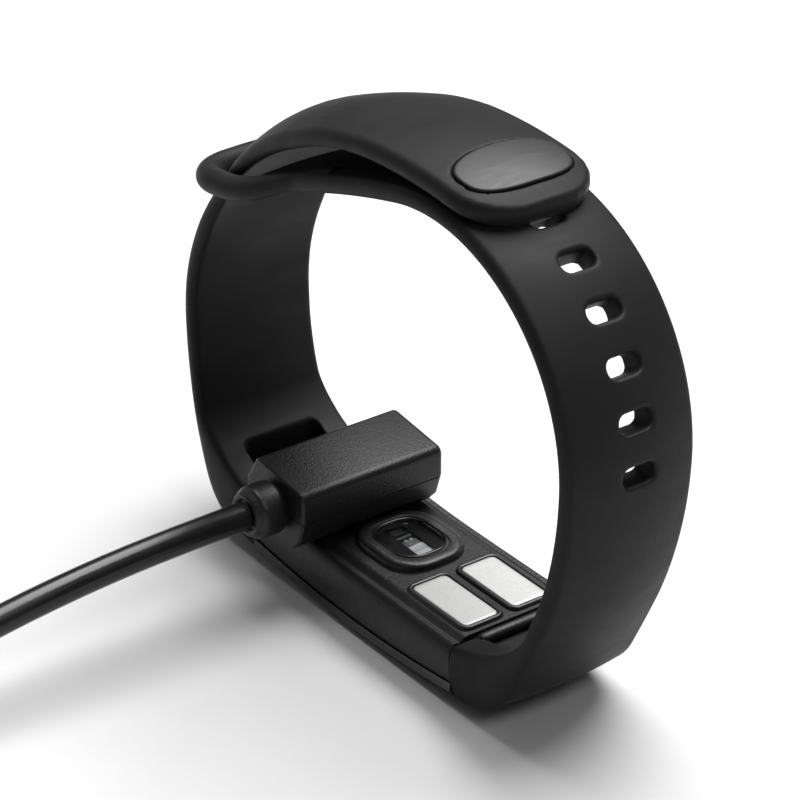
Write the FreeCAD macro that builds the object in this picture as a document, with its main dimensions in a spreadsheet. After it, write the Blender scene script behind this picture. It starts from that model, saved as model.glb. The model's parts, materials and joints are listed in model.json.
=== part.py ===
import FreeCAD, Part
import math
import os

# A fitness tracker band: a curved tracker pod that rests on its display, two silicone straps closed by a
# loop and a peg, and a clip-on charger block with its cable. Millimetres, +Z up, X along the pod, Y across
# the wrist. The origin is the middle of the display's resting face.

V = FreeCAD.Vector
doc = FreeCAD.newDocument("FitnessBand")

DIMENSIONS = {
    # pod
    "curve_radius": 154.9, "pod_length": 38.1, "pod_width": 19.0, "pod_height": 7.9,
    "housing_floor": 2.1, "housing_wall": 1.0, "bezel_lip": 0.7, "bezel_rim": 0.55, "gasket_thick": 0.15,
    "lens_thick": 1.1, "lens_gap": 0.03, "ridge_width": 1.3, "ridge_proud": 0.45,
    # display, board, battery, motor
    "panel_length": 29.0, "panel_width": 13.8, "panel_thick": 0.8,
    "board_length": 33.0, "board_width": 15.4, "board_thick": 0.8, "board_level": 3.2,
    "battery_length": 17.0, "battery_width": 11.0, "battery_thick": 2.3,
    "motor_radius": 3.5, "motor_height": 2.2, "motor_wall": 0.25,
    # optical sensor and electrodes
    "bump_length": 11.2, "bump_width": 10.0, "bump_height": 1.0, "bump_corner": 4.0,
    "window_length": 7.8, "window_width": 7.2, "window_corner": 3.0,
    "electrode_length": 9.2, "electrode_width": 4.8, "electrode_corner": 0.8, "electrode_pitch": 7.0,
    "electrode_frame": 0.65, "electrode_proud": 0.45,
    "contact_radius": 0.9, "contact_pitch": 5.0,
    # straps
    "strap_thick": 2.0, "strap_half_width": 8.5, "corner_radius": 8.6, "side_radius": 47.0,
    "crown_radius": 25.0, "edge_round": 0.7, "slot_length": 4.4, "slot_width": 2.5, "slot_pitch": 5.76,
    "loop_bar": 1.5, "loop_half_width": 9.4, "pocket_width": 10.8, "pocket_depth": 1.6,
    "tab_half_width": 9.1, "tab_thick": 3.0, "peg_length": 3.9, "peg_width": 1.9,
    "cap_length": 13.8, "cap_width": 7.2, "cap_thick": 0.6,
    # charger and cable
    "charger_length": 20.3, "charger_wall": 1.1, "charger_round": 0.9, "pin_radius": 0.5,
    "relief_radius": 3.0, "relief_length": 4.4, "cable_radius": 1.7,
    "coil_radius": 17.5, "coil_height": 6.85, "tie_thick": 0.5, "tie_width": 6.0,
    "plug_width": 12.6, "plug_height": 7.0, "plug_length": 22.0,
    "usb_width": 12.0, "usb_height": 4.5, "usb_length": 18.5, "usb_wall": 0.35,
}

sheet = doc.addObject("Spreadsheet::Sheet", "Dimensions")
for row, (alias, value) in enumerate(DIMENSIONS.items(), start=1):
    sheet.set(f"A{row}", alias)
    sheet.set(f"B{row}", str(value))
    sheet.setAlias(f"B{row}", alias)
doc.recompute()

D = {alias: float(sheet.get(alias)) for alias in DIMENSIONS}
CURVE = D["curve_radius"]
SENSOR_AT = -1.0      # where along the pod's curved inner face each thing sits
ELECTRODES_AT = 11.6
CHARGER_AT = -10.9
MOTOR_AT = 11.5
THICK = D["strap_thick"]
ROOT_GAP = 0.05       # between the pod's end and a strap's root
ROOT_HIGH = 7.75      # top of a strap's root
SIDE_HEADING = 65.0   # slope of both straps where they leave the corner beside the pod, in degrees
LOOP_REACH = 10.8     # from the end of its strap to the middle of the loop's outer bar
LOOP_LIFT = 6.0       # how far the loop bends up from the line of its strap, in degrees
PEG_ANGLE = 82.2      # where round the crown the peg's slot is
PEG_X = 14.42
PEG_HEAD_TOP = 56.4
TAB_CLEAR = 0.35      # between the tab's underside and the strap under it
TAB_DEEP = 2.2        # the tab's thickness over the peg
FIT = 0.02            # play round a piece set into another
TIE_ANGLE = -35.0     # where round the coil the tie is, in degrees
NEAR = -12.0          # the charger's end towards the cable
FAR = NEAR + D["charger_length"]
SEAM = 12.2           # height of the joint between the charger's two shells
FOOT = 8.05           # height of the charger's underside
RELIEF_X = -0.3
PIN_AT = D["contact_pitch"] / 2
PIN_PLAY = 0.06
COIL_X, COIL_Y = -24.0, -87.0
COIL_LOW = D["tie_thick"]
COIL_TOP = COIL_LOW + D["coil_height"]
PLUG_AXIS = COIL_TOP + D["plug_height"] / 2 + 0.05
nodes = {}


def bind(obj, **sizes):
    """Tie an object's properties to expressions on the sheet; a plain word is one cell."""
    for prop, text in sizes.items():
        for alias in sorted(DIMENSIONS, key=len, reverse=True):
            text = text.replace(f"<{alias}>", f"Dimensions.{alias}")
        obj.setExpression(prop, text)


def keep(name, obj):
    """List an object as a finished piece under its own name."""
    obj.Label = name
    nodes[name] = obj
    return obj


def on_pod(along):
    """Placement of something built upright at X = 0, moved along the pod's curve."""
    turn = math.degrees(math.asin(along / (CURVE - D["pod_height"])))
    return FreeCAD.Placement(V(0, 0, 0), FreeCAD.Rotation(V(0, 1, 0), -turn), V(0, 0, CURVE))


def rounded(corners):
    """Lines and arcs through corners (x, y, radius), each corner rounded to its radius."""
    count = len(corners)
    spans = []
    for index, (x, y, radius) in enumerate(corners):
        here = V(x, y, 0)
        back = (V(*corners[index - 1][:2], 0) - here).normalize()
        ahead = (V(*corners[(index + 1) % count][:2], 0) - here).normalize()
        half = back.getAngle(ahead) / 2
        start = here + back * (radius / math.tan(half))
        end = here + ahead * (radius / math.tan(half))
        middle = here + (back + ahead).normalize() * (radius / math.sin(half) - radius)
        spans.append((start, middle, end, radius))
    edges = []
    for index, (start, middle, end, radius) in enumerate(spans):
        if radius > 0:
            edges.append(Part.Arc(start, middle, end))
        edges.append(Part.LineSegment(end, spans[(index + 1) % count][0]))
    return edges


def sketch_in(body, role, edges, offset=0.0):
    """A sketch on one of the body's own origin planes, moved along the plane's normal."""
    sketch = body.newObject("Sketcher::SketchObject", "Outline")
    plane = [f for f in body.Origin.OriginFeatures if f.Role == role]
    sketch.AttachmentSupport = (plane[0], [""])
    sketch.MapMode = "FlatFace"
    sketch.AttachmentOffset = FreeCAD.Placement(V(0, 0, offset), FreeCAD.Rotation())
    sketch.addGeometry(edges, False)
    return sketch


def add_pad(body, role, edges, length, offset=0.0):
    sketch = sketch_in(body, role, edges, offset)
    pad = body.newObject("PartDesign::Pad", "Pad")
    pad.Profile = sketch
    bind(pad, Length=length)
    doc.recompute()
    return pad


def padded(name, role, edges, length, offset=0.0):
    """A body of one pad."""
    body = doc.addObject("PartDesign::Body", name)
    add_pad(body, role, edges, length, offset)
    return body


def box(name, length, width, height, low_z, x=0.0, y=0.0):
    """A box centred on x and y whose three sizes come from the sheet."""
    solid = doc.addObject("Part::Box", name)
    bind(solid, Length=length, Width=width, Height=height)
    doc.recompute()
    solid.Placement.Base = V(x - solid.Length.Value / 2, y - solid.Width.Value / 2, low_z)
    return solid


def cylinder(name, radius, height, base, axis=V(0, 0, 1)):
    solid = doc.addObject("Part::Cylinder", name)
    bind(solid, Radius=radius, Height=height)
    solid.Placement = FreeCAD.Placement(base, FreeCAD.Rotation(V(0, 0, 1), axis))
    return solid


def cut(name, base, tool):
    result = doc.addObject("Part::Cut", name)
    result.Base = base
    result.Tool = tool
    doc.recompute()
    return result


def fuse(name, *shapes):
    result = doc.addObject("Part::MultiFuse", name)
    result.Shapes = list(shapes)
    doc.recompute()
    return result


def round_edges(name, base, radius, wanted):
    """Fillet the edges that wanted(edge) picks."""
    picked = [i for i, edge in enumerate(base.Shape.Edges, start=1) if wanted(edge)]
    result = doc.addObject("Part::Fillet", name)
    result.Base = base
    result.Edges = [(i, radius, radius) for i in picked]
    doc.recompute()
    return result


def upright(edge):
    first, last = edge.Vertexes[0].Point, edge.Vertexes[-1].Point
    return abs(first.z - last.z) > 1e-6 and math.hypot(first.x - last.x, first.y - last.y) < 1e-6


def plate(name, length, width, height, low_z, corner, x=0.0, y=0.0):
    """A box whose four upright edges are rounded."""
    blank = box(name + "_blank", length, width, height, low_z, x, y)
    return round_edges(name, blank, corner, upright)


def moved(name, obj, placement):
    """The piece, put where it belongs."""
    obj.Placement = placement.multiply(obj.Placement)
    return keep(name, obj)


# ---------------------------------------------------------------- pod: shells curved about the wrist

def curved(name, outline, sweep):
    """A section in the YZ plane swept about the wrist axis, half the sweep each way."""
    body = doc.addObject("PartDesign::Body", name)
    sketch = sketch_in(body, "YZ_Plane", outline)
    sketch.addGeometry(Part.LineSegment(V(-5, CURVE, 0), V(5, CURVE, 0)), True)
    turn = body.newObject("PartDesign::Revolution", "Sweep")
    turn.Profile = sketch
    turn.ReferenceAxis = (sketch, ["Axis0"])
    turn.Midplane = True
    bind(turn, Angle=sweep)
    doc.recompute()
    return body


def section(half_width, low, high, low_round=0.0, high_round=0.0):
    return rounded([(-half_width, low, low_round), (half_width, low, low_round),
                    (half_width, high, high_round), (-half_width, high, high_round)])


POD_SWEEP = "2 * asin(<pod_length> / 2 / <curve_radius>)"
HALF = D["pod_width"] / 2
TOP = D["pod_height"]


def sweep_less(margin):
    """The pod's sweep, shorter by a margin at each end."""
    return f"2 * asin((<pod_length> / 2 - {margin}) / <curve_radius>)"


def make_lens():
    lens_half = HALF - D["bezel_rim"] - D["lens_gap"]
    blank = curved("lens_blank", section(lens_half, -0.1, D["lens_thick"], 0.45), sweep_less(0.6))
    below = box("lens_below", "<pod_length> + 10", "<pod_width> + 10", "5", -5.0)
    keep("display_lens", cut("display_lens", blank, below))


def make_bezel():
    top = D["housing_floor"] - D["gasket_thick"]
    blank = curved("bezel_blank", section(HALF, D["bezel_lip"], top, 0.25, 0.0), POD_SWEEP)
    seat_half = HALF - D["bezel_rim"]
    seat = curved("bezel_seat", section(seat_half, -1.0, D["lens_thick"] + D["lens_gap"]), sweep_less(0.55))
    window = curved("bezel_window", section(seat_half - 1.3, -1.0, top + 1.0), sweep_less(2.2))
    keep("front_bezel", cut("front_bezel", cut("bezel_step", blank, seat), window))


def make_gasket():
    low = D["housing_floor"] - D["gasket_thick"]
    blank = curved("gasket_blank", section(HALF - 0.25, low, D["housing_floor"]), sweep_less(0.25))
    inside = curved("gasket_inside", section(HALF - 1.0, low - 1.0, D["housing_floor"] + 1.0), sweep_less(1.0))
    keep("housing_gasket", cut("housing_gasket", blank, inside))


def make_rear_housing():
    """The moulded back of the pod, with a window for the sensor and seats for what it carries."""
    shoulder = [(-HALF, D["housing_floor"], 0.0), (HALF, D["housing_floor"], 0.0), (HALF, 5.2, 1.2),
                (8.5, 7.1, 1.2), (7.2, TOP, 1.0), (-7.2, TOP, 1.0), (-8.5, 7.1, 1.2), (-HALF, 5.2, 1.2)]
    outer = curved("housing_outer", rounded(shoulder), POD_SWEEP)
    wall = D["housing_wall"]
    hollow = curved("housing_hollow", section(HALF - wall, 1.0, TOP - wall, 0.0, 1.5), sweep_less(wall))
    ridges = [ridge(side) for side in (-1, 1)]
    shell = cut("housing_shell", fuse("housing_ridged", outer, *ridges), hollow)
    seats = [bump_seat(), bump_opening(), contact_bores()]
    seats += [electrode_seat(side) for side in (-1, 1)]
    keep("rear_housing", cut("rear_housing", shell, fuse("housing_seats", *seats)))


def ridge(side):
    """A low rib across each end of the inner face, where the strap is caught."""
    bar = box("ridge", "<ridge_width>", "<pocket_width>", "<ridge_proud> + 1", TOP - 1.0)
    bar.Placement = on_pod(side * (D["pod_length"] / 2 - 2.1)).multiply(bar.Placement)
    return bar


def bump_seat():
    seat = plate("bump_seat", "<bump_length> + 0.04", "<bump_width> + 0.04", "3", TOP - 0.3,
                 D["bump_corner"] + 0.02)
    seat.Placement = on_pod(SENSOR_AT)
    return seat


def bump_opening():
    opening = plate("bump_opening", "<window_length> + 0.6", "<window_width> + 0.6", "4", TOP - 2.0,
                    D["window_corner"])
    opening.Placement = on_pod(SENSOR_AT)
    return opening


def electrode_outer(name, gap, height, low_z, side):
    """The outline that the frame fills in the housing."""
    border = 2 * D["electrode_frame"] + gap
    return plate(name, f"<electrode_length> + {border}", f"<electrode_width> + {border}", str(height), low_z,
                 D["electrode_corner"] + D["electrode_frame"], y=side * D["electrode_pitch"] / 2)


def electrode_seat(side):
    seat = electrode_outer("electrode_seat", 0.04, 3.0, TOP - 0.5, side)
    seat.Placement = on_pod(ELECTRODES_AT)
    return seat


def contact_bores():
    bores = [cylinder("contact_bore", "<contact_radius> + 0.02", "4", V(0, side * D["contact_pitch"] / 2, 6.0))
             for side in (-1, 1)]
    both = fuse("contact_bore_pair", *bores)
    both.Placement = on_pod(CHARGER_AT)
    return both


def make_contacts():
    pads = [cylinder("contact", "<contact_radius>", "0.9", V(0, side * D["contact_pitch"] / 2, TOP - 1.0))
            for side in (-1, 1)]
    moved("charging_contacts", fuse("charging_contacts", *pads), on_pod(CHARGER_AT))


# ---------------------------------------------------------------- pod: what it holds

def make_display_panel():
    keep("display_panel", box("display_panel", "<panel_length>", "<panel_width>", "<panel_thick>", 1.95))


def make_main_board():
    keep("main_board", box("main_board", "<board_length>", "<board_width>", "<board_thick>", D["board_level"]))


def make_battery():
    low = D["board_level"] + D["board_thick"] + 0.1
    blank = box("battery_blank", "<battery_length>", "<battery_width>", "<battery_thick>", low, x=-3.0)
    keep("battery", round_edges("battery", blank, 0.9, upright))


def make_motor():
    """A coin motor: a closed can, and the half disc that spins in it on the can's own spindle."""
    base = V(MOTOR_AT, 0, D["board_level"] + D["board_thick"] + 0.1)
    wall = D["motor_wall"]
    can = cylinder("motor_can", "<motor_radius>", "<motor_height>", base)
    room = cylinder("motor_room", "<motor_radius> - <motor_wall>", "<motor_height> - 2 * <motor_wall>",
                    base + V(0, 0, wall))
    spindle = cylinder("motor_spindle", "0.4", "<motor_height> - 2 * <motor_wall>", base + V(0, 0, wall))
    keep("motor_case", fuse("motor_case", cut("motor_hollow", can, room), spindle))
    disc = cylinder("rotor_disc", "<motor_radius> - 0.6", "<motor_height> - 0.9", base + V(0, 0, 0.45))
    disc.Angle = 180
    hub = cylinder("rotor_hub", "1.1", "<motor_height> - 0.9", base + V(0, 0, 0.45))
    bore = cylinder("rotor_bore", "0.45", "<motor_height>", base)
    keep("motor_rotor", cut("motor_rotor", fuse("rotor_solid", disc, hub), bore))


# ---------------------------------------------------------------- pod: optical sensor

def make_sensor():
    place = on_pod(SENSOR_AT)
    low = TOP - 0.28
    high = D["bump_height"] + 0.28
    blank = plate("ring_blank", "<bump_length>", "<bump_width>", str(high), low, D["bump_corner"])
    crest = round_edges("ring_crest", blank, 0.45, lambda e: e.BoundBox.ZMin > TOP + 0.5)
    bore = plate("ring_bore", "<window_length>", "<window_width>", "3", low - 0.5, D["window_corner"])
    moved("sensor_ring", cut("sensor_ring", crest, bore), place)
    window = plate("sensor_window", "<window_length> - 0.04", "<window_width> - 0.04", "0.6", TOP + 0.3,
                   D["window_corner"] - 0.02)
    moved("sensor_window", window, place)
    inside = TOP - D["housing_wall"]
    board = box("sensor_board", "<window_length> + 2", "<window_width> + 1.6", "0.3", inside - 0.3)
    moved("sensor_board", board, place)
    lit = inside + 0.01
    diode = box("photodiode", "3.2", "2.2", "0.5", lit, x=1.6)
    moved("photodiode", diode, place)
    leds = [box("led", "0.9", "0.8", "0.4", lit, x=-1.9, y=side * 0.7) for side in (-1, 1)]
    moved("sensor_leds", fuse("sensor_leds", *leds), place)
    baffle = box("light_baffle", "0.4", "4.0", "1.2", lit, x=-0.6)
    moved("light_baffle", baffle, place)


def make_electrodes():
    """Two metal touch pads, each in a raised frame."""
    place = on_pod(ELECTRODES_AT)
    for side, word in ((-1, "front"), (1, "rear")):
        y = side * D["electrode_pitch"] / 2
        proud = D["electrode_proud"]
        blank = electrode_outer("frame_blank", 0.0, 0.48 + proud, TOP - 0.48, side)
        inner = plate("frame_inner", "<electrode_length>", "<electrode_width>", "1.5", TOP - 0.2,
                      D["electrode_corner"], y=y)
        moved(f"electrode_frame_{word}", cut("frame", blank, inner), place)
        pad = plate("pad", "<electrode_length> - 0.04", "<electrode_width> - 0.04", "<electrode_proud> + 0.08",
                    TOP - 0.19, D["electrode_corner"] - 0.02, y=y)
        moved(f"electrode_{word}", pad, place)


# ---------------------------------------------------------------- straps

def chain(start, heading, stretches):
    """Tangent arcs and lines in the XZ plane.

    Each stretch is (radius, degrees), where a positive turn is anticlockwise, or (0, length) for a line.
    Returns the edges, and the end point with its heading in degrees.
    """
    edges = []
    here = V(start[0], 0, start[1])
    for radius, amount in stretches:
        angle = math.radians(heading)
        ahead = V(math.cos(angle), 0, math.sin(angle))
        if radius == 0:
            there = here + ahead * amount
            edges.append(Part.LineSegment(here, there).toShape())
        else:
            side = math.copysign(1, amount)
            centre = here + V(-math.sin(angle), 0, math.cos(angle)) * radius * side
            spoke = here - centre
            middle = centre + turned(spoke, amount / 2)
            there = centre + turned(spoke, amount)
            edges.append(Part.Arc(here, middle, there).toShape())
            heading += amount
        here = there
    return edges, here, heading


def turned(vector, degrees):
    """A vector in the XZ plane turned anticlockwise as seen from -Y."""
    angle = math.radians(degrees)
    return V(vector.x * math.cos(angle) - vector.z * math.sin(angle), 0,
             vector.x * math.sin(angle) + vector.z * math.cos(angle))


def offset_point(point, heading, distance):
    angle = math.radians(heading)
    return point + V(-math.sin(angle), 0, math.cos(angle)) * distance


END_TURN = math.degrees(math.asin(D["pod_length"] / 2 / CURVE))
END_X = D["pod_length"] / 2 + ROOT_GAP
END_LOW = CURVE - CURVE * math.cos(math.radians(END_TURN)) + 0.15


def strap_outline(root_stretches, upper_stretches):
    """Side outline of the strap at +X: outer line from the pod to the far end, back along the inner line."""
    outer, at_side, heading = chain((END_X, END_LOW), END_TURN, root_stretches)
    upper, end, end_heading = chain((at_side.x, at_side.z), heading, upper_stretches)
    inner_start = offset_point(at_side, heading, THICK)
    grown = [(r - math.copysign(THICK, a) if r else 0, a) for r, a in upper_stretches]
    inner, inner_end, _ = chain((inner_start.x, inner_start.z), heading, grown)
    root = V(END_X, 0, ROOT_HIGH)
    reach = V(math.cos(math.radians(10)), 0, math.sin(math.radians(10)))
    back = V(math.cos(math.radians(heading)), 0, math.sin(math.radians(heading)))
    start_inner = inner[0].Vertexes[-1].Point
    blend = Part.BezierCurve()
    blend.setPoles([root, root + reach * 6.5, start_inner - back * 5.0, start_inner])
    inner = [blend.toShape()] + inner[1:]
    closing = [Part.LineSegment(end, inner_end).toShape(),
               Part.LineSegment(V(END_X, 0, END_LOW), root).toShape()]
    return outer + upper + inner + closing, end, end_heading


def extruded(edges, half_width):
    """The side outline made as wide as the strap, with square edges."""
    wire = Part.Wire(Part.__sortEdges__(edges))
    solid = Part.Face(wire).extrude(V(0, 2 * half_width, 0))
    solid.translate(V(0, -half_width, 0))
    return solid


def round_sides(solid, half_width, radius, far_end):
    """Round the edges that run along both sides of a strap, leaving its two cut ends square."""
    def runs_along(edge):
        ends = [vertex.Point for vertex in edge.Vertexes]
        on_side = all(abs(abs(point.y) - half_width) < 1e-4 for point in ends)
        same_side = ends[0].y * ends[-1].y > 0
        at_root = all(abs(point.x - END_X) < 1e-4 for point in ends)
        at_far_end = any(math.hypot(point.x - far_end.x, point.z - far_end.z) < 1e-4 for point in ends)
        return on_side and same_side and not at_root and not (at_far_end and abs(edge.Length - THICK) < 1e-3)
    return solid.makeFillet(radius, [edge for edge in solid.Edges if runs_along(edge)])


def mirrored(shape):
    return shape.mirror(V(0, 0, 0), V(1, 0, 0))


def feature(name, shape):
    obj = doc.addObject("Part::Feature", name)
    obj.Shape = shape
    return keep(name, obj)


# The strap with the holes: a short line and the corner beside the pod, then a line, the side arc, the
# crown arc, and straight on to the loop.
HOLE_ROOT = [(0, 2.4), (D["corner_radius"], SIDE_HEADING - END_TURN)]
HOLE_SIDE = [(0, 8.4), (D["side_radius"], 90 - SIDE_HEADING), (D["crown_radius"], 109.6), (0, 25.4)]


def crown_centre():
    """Centre of the crown arc."""
    _, start, _ = chain((END_X, END_LOW), END_TURN, HOLE_ROOT + HOLE_SIDE[:2])
    return V(start.x - D["crown_radius"], 0, start.z)


def slot_places():
    """Points and outward directions of the adjustment slots, from the lowest one up and over the crown."""
    centre = crown_centre()
    step = math.degrees(D["slot_pitch"] / D["crown_radius"])
    first = PEG_ANGLE - 6 * step
    places = []
    for number in range(9):
        angle = math.radians(first + number * step)
        out = V(math.cos(angle), 0, math.sin(angle))
        places.append((centre + out * D["crown_radius"], out))
    return places


def slot_cutter(point, out):
    """A rounded slot that runs across the strap and through it."""
    across, along = D["slot_width"] / 2, D["slot_length"] / 2
    corner = across - 0.01
    outline = rounded([(-across, -along, corner), (across, -along, corner),
                       (across, along, corner), (-across, along, corner)])
    face = Part.Face(Part.Wire(Part.__sortEdges__([edge.toShape() for edge in outline])))
    cutter = face.extrude(V(0, 0, 8))
    cutter.Placement = FreeCAD.Placement(point - out * 5, FreeCAD.Rotation(V(0, 0, 1), out))
    return cutter


def loop_ring(centre, heading):
    """The round bar that makes the loop: two arms that leave the strap's edges, and a wide rounded end."""
    bar, half, corner = D["loop_bar"], D["loop_half_width"], 6.0
    inside, shoulder, reach = V(-9.0, 6.4, 0), V(-3.5, half, 0), LOOP_REACH
    path = rounded([(inside.x, -inside.y, 0), (shoulder.x, -shoulder.y, 4.0), (reach, -half, corner),
                    (reach, half, corner), (shoulder.x, shoulder.y, 4.0), (inside.x, inside.y, 0)])[:-1]
    wire = Part.Wire(Part.__sortEdges__([edge.toShape() for edge in path if edge.length() > 1e-6]))
    first = V(inside.x, -inside.y, 0)
    circle = Part.Wire(Part.makeCircle(bar, first, V(shoulder.x, -shoulder.y, 0) - first))
    ring = wire.makePipeShell([circle], True, False)
    ring.Placement = FreeCAD.Placement(centre, FreeCAD.Rotation(V(0, 1, 0), -heading))
    return ring


def pocket(side):
    """The recess in a strap's inner face beside the pod."""
    tool = Part.makeBox(8.5, D["pocket_width"], 6.0, V(END_X - 0.5, -D["pocket_width"] / 2, 6.2))
    return tool if side > 0 else mirrored(tool)


def insert_room(side, gap):
    """The stiff core at a strap's root, or the room for it with a gap all round."""
    tool = Part.makeBox(5.0 + gap, 9.0 + 2 * gap, 2.6 + 2 * gap, V(END_X, -4.5 - gap, 2.9 - gap))
    return tool if side > 0 else mirrored(tool)


def make_hole_strap():
    outline, end, heading = strap_outline(HOLE_ROOT, HOLE_SIDE)
    half = D["strap_half_width"]
    solid = round_sides(extruded(outline, half), half, D["edge_round"], end)
    ring = loop_ring(offset_point(end, heading, THICK / 2), heading - LOOP_LIFT)
    solid = solid.fuse(ring).removeSplitter()
    for point, out in slot_places():
        solid = solid.cut(slot_cutter(point, out))
    solid = solid.cut(pocket(1)).cut(insert_room(1, FIT))
    feature("hole_strap", solid)
    feature("strap_insert_holes", insert_room(1, 0.0))


# The strap with the peg: the same corner, then up the other side and over, outside the hole strap.
PEG_ROOT = [(0, 4.0), (D["corner_radius"], SIDE_HEADING - END_TURN)]
PEG_SIDE = [(0, 1.0), (D["side_radius"], 90 - SIDE_HEADING), (24.8, 26.7), (39.7, 49.4)]


def taper_by_height(profile):
    """A deep block along X whose half width follows (height, half width, corner radius)."""
    plan = [(height, -half, corner) for height, half, corner in profile]
    plan += [(height, half, corner) for height, half, corner in reversed(profile)]
    side_face = Part.Face(Part.Wire(Part.__sortEdges__([edge.toShape() for edge in rounded(plan)])))
    block = side_face.extrude(V(0, 0, 80))
    block.Placement = FreeCAD.Placement(V(60, 0, 0), FreeCAD.Rotation(V(0, 1, 0), -90))
    return block


def make_peg_strap():
    outline, end, heading = strap_outline(PEG_ROOT, PEG_SIDE)
    half = D["strap_half_width"]
    solid = round_sides(extruded(outline, half), half, D["edge_round"], end)
    solid = solid.common(taper_by_height([(0.0, half + 1, 0.0), (20.0, half + 1, 0.0), (24.0, half, 6.0),
                                          (46.0, 7.0, 6.0), (70.0, 7.6, 0.0)]))
    axis = offset_point(end, heading, THICK / 2)
    knuckle = Part.makeCylinder(THICK / 2 + 0.3, 30, V(axis.x, -15, axis.z), V(0, 1, 0))
    solid = mirrored(solid.cut(knuckle)).cut(pocket(-1)).cut(insert_room(-1, FIT))
    feature("peg_strap", solid)
    feature("strap_insert_peg", insert_room(-1, 0.0))
    return V(-axis.x, 0, axis.z), heading


def make_tab(axis, heading):
    """The loose end of the peg strap: it thickens and widens into a rounded tab that carries the peg."""
    level = 180 - heading
    start = offset_point(axis, level, THICK / 2)
    outer, tip, _ = chain((start.x, start.z), level, [(0, 4.0), (40.0, -level), (0, 9.8), (9.0, -24.0)])
    low_start = offset_point(axis, level, -THICK / 2)
    seat = V(PEG_X - 4.0, 0, tip_seat())
    away = turned(V(1, 0, 0), level)
    under = Part.BezierCurve()
    under.setPoles([low_start, low_start + away * 6.0, seat - V(5, 0, 0), seat])
    low_tip = V(tip.x - 0.2, 0, seat.z - 0.3)
    edges = outer + [Part.LineSegment(tip, low_tip).toShape(), Part.LineSegment(low_tip, seat).toShape(),
                     under.toShape(), Part.LineSegment(low_start, start).toShape()]
    half = D["tab_half_width"]
    blank = extruded(edges, half)
    back, front = axis.x - 0.2, tip.x
    plan = rounded([(back, -8.0, 0.0), (axis.x + 8, -half, 8.0), (front, -half, 6.6),
                    (front, half, 6.6), (axis.x + 8, half, 8.0), (back, 8.0, 0.0)])
    plan_face = Part.Face(Part.Wire(Part.__sortEdges__([edge.toShape() for edge in plan])))
    blank = blank.common(plan_face.extrude(V(0, 0, 80)))
    knuckle = Part.makeCylinder(THICK / 2, 15.6, V(axis.x, -7.8, axis.z), V(0, 1, 0))
    tab = blank.fuse(knuckle).removeSplitter()
    top = tip_seat() + TAB_DEEP
    cap = cap_shape(top, 0.0)
    tab = tab.cut(cap_shape(top, 0.03)).cut(peg_stem(top, 0.03))
    feature("strap_tab", tab)
    feature("peg_cap", cap)
    feature("peg_stud", peg_stem(top, 0.0).fuse(peg_head()).removeSplitter())


def tip_seat():
    """Height of the tab's underside, just clear of the crown of the hole strap."""
    centre = crown_centre()
    return centre.z + D["crown_radius"] + TAB_CLEAR


def rounded_block(length, width, corner, low, high, x):
    """An upright block, rounded in plan."""
    across, along = width / 2, length / 2
    outline = rounded([(x - across, -along, corner), (x + across, -along, corner),
                       (x + across, along, corner), (x - across, along, corner)])
    face = Part.Face(Part.Wire(Part.__sortEdges__([edge.toShape() for edge in outline])))
    face.translate(V(0, 0, low))
    return face.extrude(V(0, 0, high - low))


def cap_shape(top, gap):
    return rounded_block(D["cap_length"] + 2 * gap, D["cap_width"] + 2 * gap, 3.2 + gap,
                         top - D["cap_thick"] - gap, top + 0.05, PEG_X)


def peg_stem(top, gap):
    return rounded_block(D["peg_length"] - 0.5 + 2 * gap, D["peg_width"] - 0.4 + 2 * gap, 0.7 + gap,
                         PEG_HEAD_TOP, top - D["cap_thick"] - gap, PEG_X)


def peg_head():
    return rounded_block(D["peg_length"], D["peg_width"], 0.9, PEG_HEAD_TOP - 0.8, PEG_HEAD_TOP, PEG_X)


# ---------------------------------------------------------------- charger block

def charger_shell(name, outline, cavity):
    """A shell from its end outline, hollowed by a cavity that stops short of both ends."""
    wall = D["charger_wall"]
    outer = padded(name + "_outer", "XZ_Plane", outline, "<charger_length>", -FAR)
    inner = padded(name + "_inner", "XZ_Plane", cavity, "<charger_length> - 2 * <charger_wall>", wall - FAR)
    return cut(name + "_hollow", outer, inner)


def relief_neck(name, radius):
    return cylinder(name, radius, "6", V(RELIEF_X, NEAR - 3, SEAM), V(0, 1, 0))


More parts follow.
